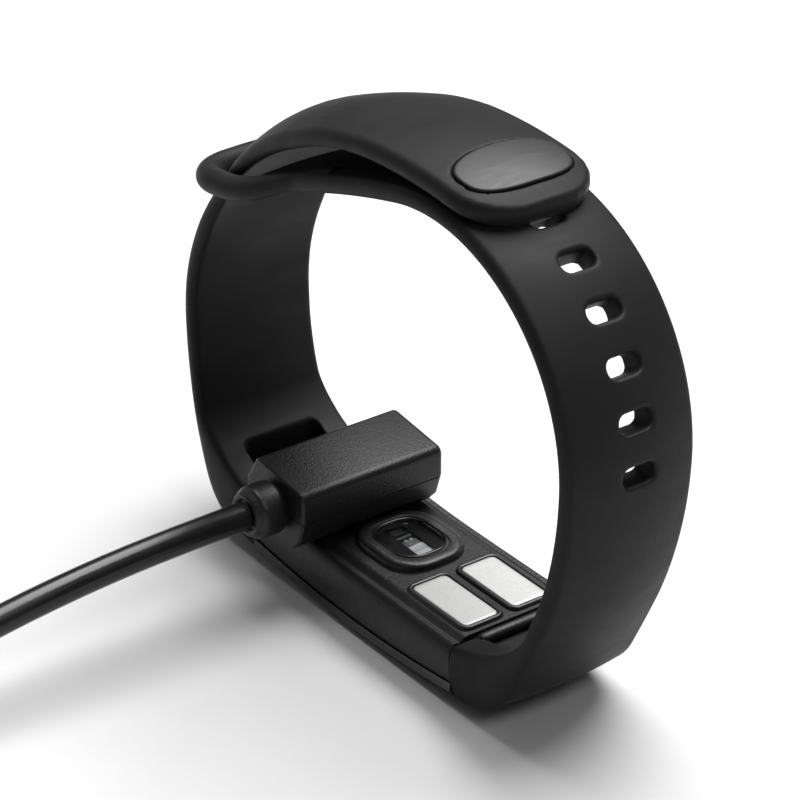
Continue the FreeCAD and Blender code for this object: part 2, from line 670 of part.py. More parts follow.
def make_charger():
    place = on_pod(CHARGER_AT)
    corner = D["charger_round"]
    top = rounded([(-6.2, SEAM, 0), (5.15, SEAM, 0), (4.75, 15.95, corner), (-4.5, 16.4, corner),
                   (-6.2, 12.9, 0.5)])
    top_room = rounded([(-5.1, SEAM - 1, 0), (4.05, SEAM - 1, 0), (3.75, 14.85, 0.4), (-3.8, 15.25, 0.4),
                        (-5.1, 12.9, 0.3)])
    upper = charger_shell("charger_top", top, top_room)
    moved("charger_upper_shell", cut("charger_upper_shell", upper, relief_neck("upper_neck", "2.03")), place)
    low = rounded([(-6.2, SEAM - 0.04, 0), (-6.1, 9.2, 0.6), (-4.6, FOOT, 0.6), (3.4, FOOT, 0.8),
                   (4.55, 9.5, 0.8), (5.15, SEAM - 0.04, 0)])
    low_room = rounded([(-5.1, SEAM + 1, 0), (-5.0, 9.9, 0.3), (-4.2, FOOT + 1.1, 0.3), (3.0, FOOT + 1.1, 0.3),
                        (3.6, 10.0, 0.3), (4.05, SEAM + 1, 0)])
    lower = charger_shell("charger_base", low, low_room)
    bores = [cylinder("pin_bore", f"<pin_radius> + {PIN_PLAY}", "3", V(0, side * PIN_AT, FOOT - 1))
             for side in (-1, 1)]
    openings = fuse("base_openings", relief_neck("lower_neck", "2.03"), *bores)
    moved("charger_lower_shell", cut("charger_lower_shell", lower, openings), place)
    moved("charger_board", box("charger_board", "7", "15", "0.8", SEAM + 0.45, x=-0.5, y=-1.0), place)
    magnets = [box("magnet", "3.2", "2.6", "1.8", FOOT + 1.15, y=y) for y in (-7.0, 5.4)]
    moved("charger_magnets", fuse("charger_magnets", *magnets), place)
    make_pins(place)
    sleeve = cylinder("relief_sleeve", "<relief_radius>", "<relief_length>",
                      V(RELIEF_X, NEAR - D["relief_length"], SEAM), V(0, 1, 0))
    neck = cylinder("relief_neck", "2", "<charger_wall>", V(RELIEF_X, NEAR, SEAM), V(0, 1, 0))
    flange = cylinder("relief_flange", "2.5", "0.6", V(RELIEF_X, NEAR + D["charger_wall"], SEAM), V(0, 1, 0))
    moved("strain_relief", fuse("strain_relief", sleeve, neck, flange), place)


def make_pins(place):
    """Two sprung contact pins, each a plunger with a collar, in a barrel under the board."""
    barrels = []
    for number, side in ((1, -1), (2, 1)):
        foot = V(0, side * PIN_AT, TOP - 0.08)
        plunger = cylinder("plunger", "<pin_radius>", "3.8", foot)
        collar = cylinder("collar", "0.85", "0.5", foot + V(0, 0, 1.45))
        moved(f"pogo_pin_{number}", fuse("pin", plunger, collar), place)
        barrel = cylinder("barrel", "0.95", "1.85", V(0, side * PIN_AT, SEAM - 1.4))
        bore = cylinder("barrel_bore", f"<pin_radius> + {PIN_PLAY}", "1.6", V(0, side * PIN_AT, SEAM - 1.5))
        barrels.append(cut("barrel_tube", barrel, bore))
    moved("pogo_barrels", fuse("pogo_barrels", *barrels), place)


# ---------------------------------------------------------------- cable

def cable_route():
    """From the strain relief, level at first, then down to the outside of the coil's lower layer."""
    exit_point = on_pod(CHARGER_AT).multVec(V(RELIEF_X, NEAR - D["relief_length"], SEAM))
    return [exit_point, exit_point + V(0, -9.1, 0), V(-11.1, -38.5, 11.8), V(-10.8, -53.0, 10.2),
            V(-9.4, -66.0, 7.9), V(-7.0, -77.0, 4.6), V(-4.8, -88.0, COIL_LOW + D["cable_radius"])]


def tail_route():
    """From the coil's upper layer, round and up on to it, to the back of the plug."""
    return [V(-21.5, -102.9, COIL_TOP - D["cable_radius"]), V(-26.5, -103.0, 5.75), V(-31.4, -101.4, 6.6),
            V(-35.5, -98.4, 8.0), V(-38.7, -94.4, 9.7), V(-40.4, -89.6, PLUG_AXIS), V(-40.4, -84.6, PLUG_AXIS)]


def tube(points, radius):
    """A round tube along straight runs joined by tangent arcs, each as large as its runs allow."""
    edges = []
    here = points[0]
    for before, corner, after in zip(points, points[1:], points[2:]):
        back, ahead = before - corner, after - corner
        half_turn = (math.pi - back.getAngle(ahead)) / 2
        trim = 0.45 * min(back.Length, ahead.Length)
        bend = trim / math.tan(half_turn)
        print("bend radius", round(bend, 1))
        back.normalize()
        ahead.normalize()
        start, end = corner + back * trim, corner + ahead * trim
        middle = corner + (back + ahead).normalize() * (bend / math.cos(half_turn) - bend)
        edges.append(Part.LineSegment(here, start).toShape())
        edges.append(Part.Arc(start, middle, end).toShape())
        here = end
    edges.append(Part.LineSegment(here, points[-1]).toShape())
    path = Part.Wire(edges)
    ring = Part.Wire(Part.makeCircle(radius, points[0], points[1] - points[0]))
    solid = path.makePipeShell([ring], True, False)
    print("tube length", round(path.Length, 1), "volume ratio",
          round(solid.Volume / (math.pi * radius ** 2 * path.Length), 4))
    return solid


def make_cable():
    radius = D["cable_radius"]
    feature("cable_tube", tube(cable_route(), radius))
    feature("cable_tail", tube(tail_route(), radius))
    centre = V(COIL_X, COIL_Y, COIL_LOW)
    ring_out = cylinder("coil_outside", "<coil_radius> + 2 * <cable_radius>", "<coil_height>", centre)
    ring_in = cylinder("coil_inside", "<coil_radius> - 2 * <cable_radius>", "<coil_height> + 2",
                       centre - V(0, 0, 1))
    keep("cable_coil", cut("cable_coil", ring_out, ring_in))
    make_tie()
    make_plug()


def make_tie():
    """A flat band round the bundle of turns, on the side nearest the tracker."""
    thick, gap = D["tie_thick"], 0.35
    wide, high = 4 * D["cable_radius"] + 2 * gap, D["coil_height"] + 0.05
    across = COIL_X + D["coil_radius"] * math.cos(math.radians(TIE_ANGLE))
    along = COIL_Y + D["coil_radius"] * math.sin(math.radians(TIE_ANGLE))
    outer = Part.makeBox(wide + 2 * thick, D["tie_width"], high + 2 * thick,
                         V(-wide / 2 - thick, -D["tie_width"] / 2, 0))
    inner = Part.makeBox(wide, D["tie_width"] + 2, high, V(-wide / 2, -D["tie_width"] / 2 - 1, thick))
    band = outer.cut(inner)
    band.Placement = FreeCAD.Placement(V(across, along, 0), FreeCAD.Rotation(V(0, 0, 1), TIE_ANGLE))
    feature("cable_tie", band)


def make_plug():
    """A moulded grip, its metal shell and the contact tongue in it, along +Y on top of the coil."""
    back = tail_route()[-1]
    grip = padded("grip", "XZ_Plane", rounded(plug_section(D["plug_width"], D["plug_height"], 2.2, back)),
                  "<plug_length>", -(back.y + D["plug_length"]))
    keep("usb_overmold", grip)
    front = back.y + D["plug_length"]
    outer = padded("shell_outer", "XZ_Plane", rounded(plug_section(D["usb_width"], D["usb_height"], 0.5, back)),
                   "<usb_length>", -(front + D["usb_length"]))
    wall = 2 * D["usb_wall"]
    inner = padded("shell_inner", "XZ_Plane",
                   rounded(plug_section(D["usb_width"] - wall, D["usb_height"] - wall, 0.1, back)),
                   "<usb_length> + 2", -(front + D["usb_length"] + 1))
    keep("usb_shell", cut("usb_shell", outer, inner))
    tongue = box("usb_tongue", "<usb_width> - 2 * <usb_wall> - 0.3", "<usb_length> - 1.0", "1.8", back.z - 1.9,
                 x=back.x, y=front + (D["usb_length"] - 1.0) / 2)
    keep("usb_tongue", tongue)


def plug_section(width, height, corner, middle):
    left, right = middle.x - width / 2, middle.x + width / 2
    low, high = middle.z - height / 2, middle.z + height / 2
    return [(left, low, corner), (right, low, corner), (right, high, corner), (left, high, corner)]


def main():
    make_lens()
    make_bezel()
    make_gasket()
    make_rear_housing()
    make_contacts()
    make_display_panel()
    make_main_board()
    make_battery()
    make_motor()
    make_sensor()
    make_electrodes()
    make_hole_strap()
    axis, heading = make_peg_strap()
    make_tab(axis, heading)
    make_charger()
    make_cable()
    write_parts()


def write_parts():
    doc.recompute()
    os.makedirs("parts", exist_ok=True)
    for obj in doc.Objects:
        if "Invalid" in obj.State or "Error" in obj.State:
            raise SystemExit(f"{obj.Label} did not build")
    for name, obj in nodes.items():
        if obj.Shape.isNull() or not obj.Shape.isValid():
            raise SystemExit(f"{name} is not a valid solid")
        obj.Shape.exportStep(os.path.join("parts", name + ".step"))


main()
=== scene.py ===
"""Fitness tracker band with its charger: the looks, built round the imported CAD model.

Shapes are worked out in millimetres in the CAD frame and scaled to metres as each mesh is made.
"""
import json
import math

import bmesh
import bpy
from mathutils import Matrix, Vector


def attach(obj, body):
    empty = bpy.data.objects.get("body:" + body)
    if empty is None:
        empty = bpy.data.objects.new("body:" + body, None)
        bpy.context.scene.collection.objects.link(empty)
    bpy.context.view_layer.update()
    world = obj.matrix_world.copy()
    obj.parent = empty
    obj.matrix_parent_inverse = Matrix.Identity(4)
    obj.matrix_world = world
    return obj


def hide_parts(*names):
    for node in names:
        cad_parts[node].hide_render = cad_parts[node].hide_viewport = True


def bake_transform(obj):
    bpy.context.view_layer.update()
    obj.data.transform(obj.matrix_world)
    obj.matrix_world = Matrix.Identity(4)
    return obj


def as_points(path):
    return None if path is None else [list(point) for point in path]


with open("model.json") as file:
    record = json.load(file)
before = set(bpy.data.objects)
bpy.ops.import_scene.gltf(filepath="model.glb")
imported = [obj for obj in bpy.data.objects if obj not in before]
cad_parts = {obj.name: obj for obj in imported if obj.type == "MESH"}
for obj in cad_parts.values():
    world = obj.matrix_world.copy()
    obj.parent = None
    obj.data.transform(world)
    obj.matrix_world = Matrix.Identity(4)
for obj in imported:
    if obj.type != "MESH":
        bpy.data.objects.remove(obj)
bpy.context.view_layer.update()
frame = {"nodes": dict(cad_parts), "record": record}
MM = 0.001


# ---------------------------------------------------------------- camera

LOOK_AT = Vector((-3.45, 0.0, 25.85))
DISTANCE = 363.56
AZIMUTH, ELEVATION, ROLL = math.radians(52.2), math.radians(29.0), math.radians(1.2)
LENS, SENSOR = 144, 36


def make_camera():
    """A long lens to the front right and above, turned a little about its own axis."""
    back = Vector((math.sin(AZIMUTH) * math.cos(ELEVATION), -math.cos(AZIMUTH) * math.cos(ELEVATION),
                   math.sin(ELEVATION)))
    level = Vector((math.cos(AZIMUTH), math.sin(AZIMUTH), 0))
    upright = back.cross(level)
    right = level * math.cos(ROLL) + upright * math.sin(ROLL)
    up = upright * math.cos(ROLL) - level * math.sin(ROLL)
    data = bpy.data.cameras.new("camera")
    data.lens = LENS
    data.sensor_width = SENSOR
    data.clip_start = 0.01
    data.clip_end = 20
    camera = bpy.data.objects.new("camera", data)
    bpy.context.scene.collection.objects.link(camera)
    turn = Matrix((right, up, back)).transposed().to_4x4()
    camera.matrix_world = Matrix.Translation((LOOK_AT + back * DISTANCE) * MM) @ turn
    bpy.context.scene.camera = camera


make_camera()


# ---------------------------------------------------------------- materials

class Finish:
    """A node material in the making: noise fields, and what they drive on its shader."""

    def __init__(self, name):
        self.material = bpy.data.materials.new(name)
        self.material.use_nodes = True
        self.nodes = self.material.node_tree.nodes
        self.links = self.material.node_tree.links
        self.shader = self.nodes["Principled BSDF"]

    def field(self, kind, scale, stretch=None):
        """A texture in object space, in features per metre, stretched along an axis where asked."""
        texture = self.nodes.new(kind)
        texture.inputs["Scale"].default_value = scale
        source = self.nodes.new("ShaderNodeTexCoord").outputs["Object"]
        if stretch:
            mapping = self.nodes.new("ShaderNodeMapping")
            mapping.inputs["Scale"].default_value = stretch
            self.links.new(source, mapping.inputs["Vector"])
            source = mapping.outputs["Vector"]
        self.links.new(source, texture.inputs["Vector"])
        return texture

    def noise(self, scale, detail, stretch=None):
        texture = self.field("ShaderNodeTexNoise", scale, stretch)
        texture.inputs["Detail"].default_value = detail
        return texture.outputs["Fac"]

    def colour(self, source, dark, light):
        """Base colour between two tones."""
        ramp = self.nodes.new("ShaderNodeValToRGB")
        for element, position, tone in zip(ramp.color_ramp.elements, (0.3, 0.7), (dark, light)):
            element.position = position
            element.color = (*tone, 1)
        self.links.new(source, ramp.inputs["Fac"])
        self.links.new(ramp.outputs["Color"], self.shader.inputs["Base Color"])

    def roughness(self, source, low, high, from_low=0.3, from_high=0.7):
        """Roughness from a field, stretched over a range."""
        node = self.nodes.new("ShaderNodeMapRange")
        limits = {"From Min": from_low, "From Max": from_high, "To Min": low, "To Max": high}
        for name, value in limits.items():
            node.inputs[name].default_value = value
        self.links.new(source, node.inputs["Value"])
        self.links.new(node.outputs["Result"], self.shader.inputs["Roughness"])

    def bumps(self, *layers):
        """Stacked bump layers, each (field, depth in millimetres)."""
        normal = None
        for source, depth in layers:
            bump = self.nodes.new("ShaderNodeBump")
            bump.inputs["Distance"].default_value = depth * MM
            bump.inputs["Strength"].default_value = 1.0
            self.links.new(source, bump.inputs["Height"])
            if normal:
                self.links.new(normal, bump.inputs["Normal"])
            normal = bump.outputs["Normal"]
        self.links.new(normal, self.shader.inputs["Normal"])

    def done(self, **constants):
        """The material, once its plain values are set on the shader's own sockets: Metallic=1.0 and so on."""
        for name, value in constants.items():
            self.shader.inputs[name.replace("_", " ")].default_value = value
        return self.material


def moulded(name, tone, rough, grain, depth, specular=0.5, vary=0.25, coat=0.0):
    """Plastic or rubber: cloudy tone, patchy gloss, and a fine moulded grain."""
    made = Finish(name)
    cloud = made.noise(90, 4.0)
    made.colour(cloud, [value * (1 - vary) for value in tone], [value * (1 + vary) for value in tone])
    made.roughness(cloud, *rough)
    made.bumps((made.noise(grain, 2.0), depth))
    return made.done(Specular_IOR_Level=specular, Coat_Weight=coat, Coat_Roughness=0.2)


def silicone():
    """Matte silicone: a soft dusty sheen, very fine bead-blasted grain, and faint handling marks."""
    made = Finish("silicone")
    marks = made.noise(420, 6.0, (1, 0.25, 1))
    made.colour(made.noise(60, 5.0), (0.0085, 0.0085, 0.0088), (0.0115, 0.0115, 0.0118))
    made.roughness(marks, 0.48, 0.58)
    made.bumps((made.noise(5200, 2.0), 0.006), (marks, 0.004))
    return made.done(Specular_IOR_Level=0.14, Sheen_Weight=0.02, Sheen_Roughness=0.4)


def spark_plastic():
    """Spark-eroded texture, glossier where an edge has been rubbed."""
    made = Finish("charger_plastic")
    pits = made.field("ShaderNodeTexVoronoi", 4200).outputs["Distance"]
    worn = made.nodes.new("ShaderNodeNewGeometry").outputs["Pointiness"]
    made.colour(made.noise(120, 4.0), (0.0045, 0.0045, 0.0047), (0.0075, 0.0075, 0.0077))
    made.roughness(worn, 0.48, 0.26, 0.50, 0.58)
    made.bumps((pits, 0.012), (made.noise(3400, 3.0), 0.034))
    return made.done(Specular_IOR_Level=0.3)


def metal(name, colour, rough, stretch, depth=0.004):
    """Brushed or satin metal: streaks along one axis in both gloss and height."""
    made = Finish(name)
    streak = made.noise(1500, 4.0, stretch)
    made.colour(made.noise(300, 3.0), [value * 0.88 for value in colour], colour)
    made.roughness(streak, *rough)
    made.bumps((streak, depth))
    return made.done(Metallic=1.0)


def smoky_window():
    """The sensor's window: clear resin tinted grey, a little scuffed."""
    made = Finish("sensor_glass")
    scuff = made.noise(700, 5.0)
    made.colour(scuff, (0.74, 0.75, 0.76), (0.82, 0.83, 0.84))
    made.roughness(scuff, 0.02, 0.08)
    made.bumps((scuff, 0.002))
    return made.done(Transmission_Weight=1.0, IOR=1.3)


def board():
    """Solder mask over copper tracks."""
    made = Finish("circuit_board")
    tracks = made.noise(900, 1.0, (1, 0.3, 1))
    made.colour(tracks, (0.004, 0.025, 0.013), (0.012, 0.06, 0.03))
    made.roughness(tracks, 0.28, 0.42)
    made.bumps((tracks, 0.02))
    return made.done()


def pad_coating():
    """The electrodes' satin coating: pale warm grey with a fine even speckle."""
    made = Finish("electrode_steel")
    speckle = made.noise(4200, 2.0)
    made.colour(speckle, (0.44, 0.44, 0.436), (0.50, 0.50, 0.496))
    made.roughness(made.noise(260, 3.0), 0.42, 0.52)
    made.bumps((speckle, 0.004))
    return made.done(Metallic=0.35)


def anodised_plate():
    """The clasp's oval plate: dark satin anodising, turned very fine."""
    made = Finish("clasp_plate")
    streak = made.noise(2600, 3.0, (1, 0.12, 1))
    made.colour(made.noise(140, 3.0), (0.024, 0.024, 0.0245), (0.028, 0.028, 0.0285))
    made.roughness(streak, 0.42, 0.5)
    made.bumps((streak, 0.003))
    return made.done(Metallic=0.15, Specular_IOR_Level=0.34)


BLACK = (0.008, 0.008, 0.0083)
# Tone, roughness range, grain in features per metre, its depth in mm, then specular, variation and coat.
MOULDED = {
    "housing_plastic": (BLACK, (0.34, 0.46), 3000, 0.05, 0.34),
    "sensor_bezel": ((0.010, 0.010, 0.0105), (0.34, 0.44), 2800, 0.05, 0.42),
    "electrode_seal": (BLACK, (0.32, 0.42), 4200, 0.010, 0.5),
    "relief_rubber": (BLACK, (0.34, 0.5), 2800, 0.04, 0.36),
    "cable_jacket": ((0.006, 0.006, 0.0063), (0.24, 0.34), 2600, 0.008, 0.34, 0.2, 0.1),
    "bezel_gloss": ((0.008, 0.008, 0.008), (0.10, 0.18), 3000, 0.002, 0.5, 0.1, 0.5),
    "cover_glass": ((0.004, 0.004, 0.005), (0.03, 0.07), 900, 0.0008, 0.5, 0.1, 1.0),
    "gasket": ((0.012, 0.012, 0.012), (0.6, 0.7), 4000, 0.01, 0.3),
    "core_plastic": ((0.15, 0.15, 0.155), (0.4, 0.5), 3000, 0.01),
    "display_panel": ((0.003, 0.003, 0.004), (0.08, 0.14), 1500, 0.001, 0.5, 0.1),
    "tie_strip": ((0.012, 0.012, 0.013), (0.36, 0.5), 1900, 0.02, 0.5),
    "usb_grip": (BLACK, (0.38, 0.5), 3000, 0.02, 0.45),
    "usb_tongue": ((0.02, 0.02, 0.022), (0.4, 0.5), 2500, 0.006),
    "light_baffle": ((0.004, 0.004, 0.004), (0.7, 0.8), 2500, 0.01, 0.2),
    "sensor_chip": ((0.72, 0.72, 0.73), (0.2, 0.3), 1200, 0.004, 0.5, 0.3),
    "led_lens": ((0.8, 0.8, 0.74), (0.12, 0.2), 1200, 0.004, 0.6, 0.4, 0.5),
}
# Colour, roughness range, how the streaks stretch along X, Y and Z, and their depth in mm.
METALS = {
    "gold_plate": ((0.78, 0.55, 0.22), (0.2, 0.3), (1, 1, 0.3)),
    "battery_foil": ((0.55, 0.55, 0.56), (0.28, 0.4), (1, 0.6, 1), 0.01),
    "motor_steel": ((0.5, 0.5, 0.5), (0.25, 0.36), (1, 1, 0.2)),
    "rotor_metal": ((0.3, 0.29, 0.28), (0.4, 0.55), (1, 1, 1), 0.01),
    "clasp_peg": ((0.12, 0.12, 0.125), (0.25, 0.35), (1, 1, 0.2)),
    "magnet": ((0.62, 0.61, 0.6), (0.12, 0.2), (1, 1, 1)),
    "usb_steel": ((0.56, 0.56, 0.57), (0.2, 0.32), (1, 0.12, 1)),
}
FINISHES = {"silicone": silicone(), "charger_plastic": spark_plastic(), "sensor_glass": smoky_window(),
            "circuit_board": board(), "electrode_steel": pad_coating(), "clasp_plate": anodised_plate()}
FINISHES.update({name: moulded(name, *recipe) for name, recipe in MOULDED.items()})
FINISHES.update({name: metal(name, *recipe) for name, recipe in METALS.items()})


def paint(obj, slot):
    obj.data.materials.clear()
    obj.data.materials.append(FINISHES[slot])


SLOT_OF = {entry["node"]: entry["material_slot"] for entry in frame["record"]["subparts"]}
for node_name, node_object in frame["nodes"].items():
    node_object.data.materials.clear()
    node_object.data.materials.append(FINISHES[SLOT_OF[node_name]])


# ---------------------------------------------------------------- mesh helpers

def raw_mesh(name, points, faces):
    """An object from points in millimetres."""
    mesh = bpy.data.meshes.new(name)
    mesh.from_pydata([Vector(point) * MM for point in points], [], faces)
    mesh.update()
    obj = bpy.data.objects.new(name, mesh)
    bpy.context.scene.collection.objects.link(obj)
    shell = bmesh.new()
    shell.from_mesh(mesh)
    bmesh.ops.remove_doubles(shell, verts=shell.verts, dist=1e-7)
    bmesh.ops.recalc_face_normals(shell, faces=shell.faces)
    shell.to_mesh(mesh)
    shell.free()
    return obj


SHARP_ANGLE = math.radians(48)


def smooth(obj):
    for polygon in obj.data.polygons:
        polygon.use_smooth = True


def bake(obj):
    """Put the modifiers' result into the mesh, so nothing is left to evaluate."""
    graph = bpy.context.evaluated_depsgraph_get()
    result = bpy.data.meshes.new_from_object(obj.evaluated_get(graph))
    obj.modifiers.clear()
    old, obj.data = obj.data, result
    bpy.data.meshes.remove(old)


def finish_piece(obj, body, slot, *stands_for):
    """Shade, paint and hang a piece on its body, in place of the CAD nodes it stands for."""
    smooth(obj)
    obj.data.set_sharp_from_angle(angle=SHARP_ANGLE)
    paint(obj, slot)
    if body:
        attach(obj, body)
    if stands_for:
        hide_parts(*stands_for)
    return obj


def loft(name, loops, closed=False):
    """A skin over loops that all have the same number of points, capped unless it closes on itself."""
    count = len(loops[0])
    points = [point for loop in loops for point in loop]
    faces = []
    rows = len(loops) if closed else len(loops) - 1
    for row in range(rows):
        here, there = row * count, (row + 1) % len(loops) * count
        for step in range(count):
            after = (step + 1) % count
            faces.append((here + step, here + after, there + after, there + step))
    if not closed:
        faces.append(tuple(reversed(range(count))))
        faces.append(tuple(range((len(loops) - 1) * count, len(loops) * count)))
    return raw_mesh(name, points, faces)


def rounded_outline(length, width, corner, per_corner=6):
    """A rounded rectangle about the origin, length along X, as (x, y) points."""
    outline = []
    for quarter in range(4):
        sign_x = (1, -1, -1, 1)[quarter]
        sign_y = (1, 1, -1, -1)[quarter]
        for step in range(per_corner + 1):
            angle = math.radians(90 * step / per_corner)
            if quarter % 2:
                angle = math.pi / 2 - angle
            outline.append((sign_x * (length / 2 - corner + corner * math.cos(angle)),
                            sign_y * (width / 2 - corner + corner * math.sin(angle))))
    return outline


def tube_along(name, points, radius, sides):
    """A closed round bar along points; the radius may be one number or one for each point."""
    loops = []
    side = None
    for index, point in enumerate(points):
        before, after = points[max(index - 1, 0)], points[min(index + 1, len(points) - 1)]
        ahead = (Vector(after) - Vector(before)).normalized()
        if side is None:
            side = ahead.cross(Vector((0, 0, 1))).normalized()
        side = (side - ahead * side.dot(ahead)).normalized()
        upward = side.cross(ahead)
        size = radius[index] if isinstance(radius, (list, tuple)) else radius
        loops.append([Vector(point) + side * math.cos(turn) * size + upward * math.sin(turn) * size
                      for turn in (2 * math.pi * step / sides for step in range(sides))])
    return loft(name, loops)


def lathe(name, profile, origin, axis, sides=48):
    """A turned shape: (distance along the axis, radius) pairs."""
    axis = Vector(axis).normalized()
    side = axis.orthogonal().normalized()
    upward = side.cross(axis)
    loops = [[Vector(origin) + axis * along + (side * math.cos(turn) + upward * math.sin(turn)) * radius
              for turn in (2 * math.pi * step / sides for step in range(sides))] for along, radius in profile]
    return loft(name, loops)


def carve(obj, cutters):
    """Cut the cutters out of obj, and remove them."""
    for cutter in cutters:
        knife = obj.modifiers.new("cut", "BOOLEAN")
        knife.operation = "DIFFERENCE"
        knife.solver = "EXACT"
        knife.object = cutter
    bake(obj)
    for cutter in cutters:
        bpy.data.objects.remove(cutter)


def join(obj, *others):
    """Put the others' meshes into obj's, and remove them."""
    whole = bmesh.new()
    whole.from_mesh(obj.data)
    for other in others:
        whole.from_mesh(other.data)
        bpy.data.objects.remove(other)
    whole.to_mesh(obj.data)
    whole.free()


def remoulded(obj, rounds):
    """One continuous soft skin over everything joined in obj."""
    skin = obj.modifiers.new("skin", "REMESH")
    skin.mode = "VOXEL"
    skin.voxel_size = VOXEL * MM
    relax = obj.modifiers.new("relax", "SMOOTH")
    relax.factor = 0.5
    relax.iterations = rounds
    bake(obj)


# ---------------------------------------------------------------- cable

CABLE_RADIUS = 1.7
CABLE_SIDES = 20
COIL_CENTRE = Vector((-24.0, -87.0, 0.0))
OUTER_TURN, INNER_TURN = 19.2, 15.75      # radii of the two sizes of turn
LOWER, UPPER = 2.2, 5.65                  # heights of the two layers
EXIT = Vector((-10.880, -16.400, 12.615))
PLUG_AXIS = 10.9
POINTS_PER_TURN = 24
TURNS = 3.25


def ease(value, start, end):
    """0 before start, 1 after end, smooth between."""
    share = min(max((value - start) / (end - start), 0.0), 1.0)
    return share * share * (3 - 2 * share)


def coil_point(turned):
    """A point on the coil after so many degrees, clockwise from above, starting beside the tracker."""
    inward = ease(turned, 300, 360) - ease(turned, 600, 660) + ease(turned, 1080, 1140)
    climb = ease(turned, 520, 590)
    radius = OUTER_TURN + (INNER_TURN - OUTER_TURN) * inward
    angle = -math.radians(turned)
    return COIL_CENTRE + Vector((radius * math.cos(angle), radius * math.sin(angle),
                                 LOWER + (UPPER - LOWER) * climb))


def cable_points():
    """The lead out to the coil, the coil, and the tail up to the plug."""
    lead = [EXIT, EXIT + Vector((0, -9.1, 0)), Vector((-11.1, -38.5, 11.8)), Vector((-10.8, -53.0, 10.2)),
            Vector((-9.4, -66.0, 7.9)), Vector((-7.0, -77.0, 4.6))]
    steps = int(TURNS * POINTS_PER_TURN)
    coil = [coil_point(360 * step / POINTS_PER_TURN) for step in range(steps + 1)]
    tail = [Vector((-26.5, -103.0, 5.75)), Vector((-31.4, -101.4, 6.6)), Vector((-35.5, -98.4, 8.0)),
            Vector((-38.7, -94.4, 9.7)), Vector((-40.4, -89.6, PLUG_AXIS)), Vector((-40.4, -84.6, PLUG_AXIS))]
    return lead + coil + tail


def make_cable():
    """The lead: one smooth line from the strain relief to the plug, and a round jacket along it."""
    curve = bpy.data.curves.new("cable_line", "CURVE")
    curve.dimensions = "3D"
    curve.resolution_u = 4
    spline = curve.splines.new("NURBS")
    route = cable_points()
    spline.points.add(len(route) - 1)
    for control, point in zip(spline.points, route):
        control.co = (*(point * MM), 1)
    spline.order_u = 3
    spline.use_endpoint_u = True
    line = bpy.data.objects.new("cable_line", curve)
    bpy.context.scene.collection.objects.link(line)
    graph = bpy.context.evaluated_depsgraph_get()
    graph.update()
    traced = bpy.data.meshes.new_from_object(line.evaluated_get(graph))
    path = [vertex.co.copy() for vertex in traced.vertices]
    bpy.data.objects.remove(line)
    cable = tube_along("charging_cable", [point / MM for point in path], CABLE_RADIUS, CABLE_SIDES)
    finish_piece(cable, None, "cable_jacket", "cable_tube", "cable_coil", "cable_tail")
    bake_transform(cable)
    return cable, path


cable, cable_path = make_cable()


# ---------------------------------------------------------------- plug and tie

PLUG_X = -40.4
PLUG_BACK = -84.6
GRIP_LENGTH = 22.0
GRIP_WIDE, GRIP_TALL = 12.6, 7.0
RIBS, FIRST_RIB, RIB_PITCH = 5, 6.0, 2.0
TONGUE_LOW = PLUG_AXIS - 1.85


def plug_ring(width, height, corner, y):
    return [Vector((PLUG_X + across, y, PLUG_AXIS + upward))
            for across, upward in rounded_outline(width, height, corner)]


def make_grip():
    """The moulded grip: a waisted middle between plain ends, with ribs across it."""
    stations = [(0.0, 0.70, 1.4), (0.15, 0.86, 1.9), (0.7, 0.97, 2.2), (1.6, 1.0, 2.2), (4.5, 1.0, 2.2)]
    for rib in range(RIBS):
        start = FIRST_RIB + RIB_PITCH * rib
        stations += [(start, 1.0, 2.2), (start + 0.35, 0.955, 2.1)]
        stations += [(start + 0.85, 0.955, 2.1), (start + 1.2, 1.0, 2.2)]
    stations += [(18.0, 1.0, 2.2), (21.3, 1.0, 2.2), (21.8, 0.98, 2.1), (22.0, 0.94, 1.9)]
    rings = [plug_ring(GRIP_WIDE * scale, GRIP_TALL * scale, corner, PLUG_BACK + along)
             for along, scale, corner in stations]
    grip = loft("usb_grip_moulding", rings)
    return finish_piece(grip, "tracker", "usb_grip", "usb_overmold")


def make_plug_shell(front):
    """The folded steel shell, open at its mouth, with two latch windows in each broad face."""
    outer = [plug_ring(12.0, 4.5, 0.55, front + along) for along in (0.0, 6.0, 12.0, 17.9)]
    lip = [plug_ring(11.8, 4.3, 0.5, front + 18.4), plug_ring(11.5, 4.0, 0.4, front + 18.45),
           plug_ring(11.3, 3.8, 0.3, front + 18.2)]
    inner = [plug_ring(11.3, 3.8, 0.3, front + along) for along in (12.0, 6.0, 0.2)]
    shell = loft("usb_steel_shell", outer + lip + inner)
    windows = []
    for side in (-1, 1):
        for face in (-1, 1):
            window = [(PLUG_X + side * 2.9 + dx, front + 12.0 + dy)
                      for dx, dy in rounded_outline(2.4, 2.1, 0.25)]
            levels = (PLUG_AXIS + face * 1.6, PLUG_AXIS + face * 3.2)
            windows.append(loft("window", [[Vector((x, y, level)) for x, y in window] for level in levels]))
    carve(shell, windows)
    finish_piece(shell, "tracker", "usb_steel", "usb_shell")
    shell.data.shade_smooth()
    return shell


def contact_strip(number, front):
    """The lower and upper outline of one of the four contacts; the outer two are longer."""
    x = PLUG_X + (number - 1.5) * 2.3
    long = 7.5 if number in (0, 3) else 6.5
    middle = front + 16.4 - long / 2
    low = [Vector((x + dx, middle + dy, TONGUE_LOW + 1.71)) for dx, dy in rounded_outline(1.2, long, 0.2, 3)]
    high = [Vector((x + dx, middle + dy, TONGUE_LOW + 1.80))
            for dx, dy in rounded_outline(1.1, long - 0.1, 0.2, 3)]
    return low, high


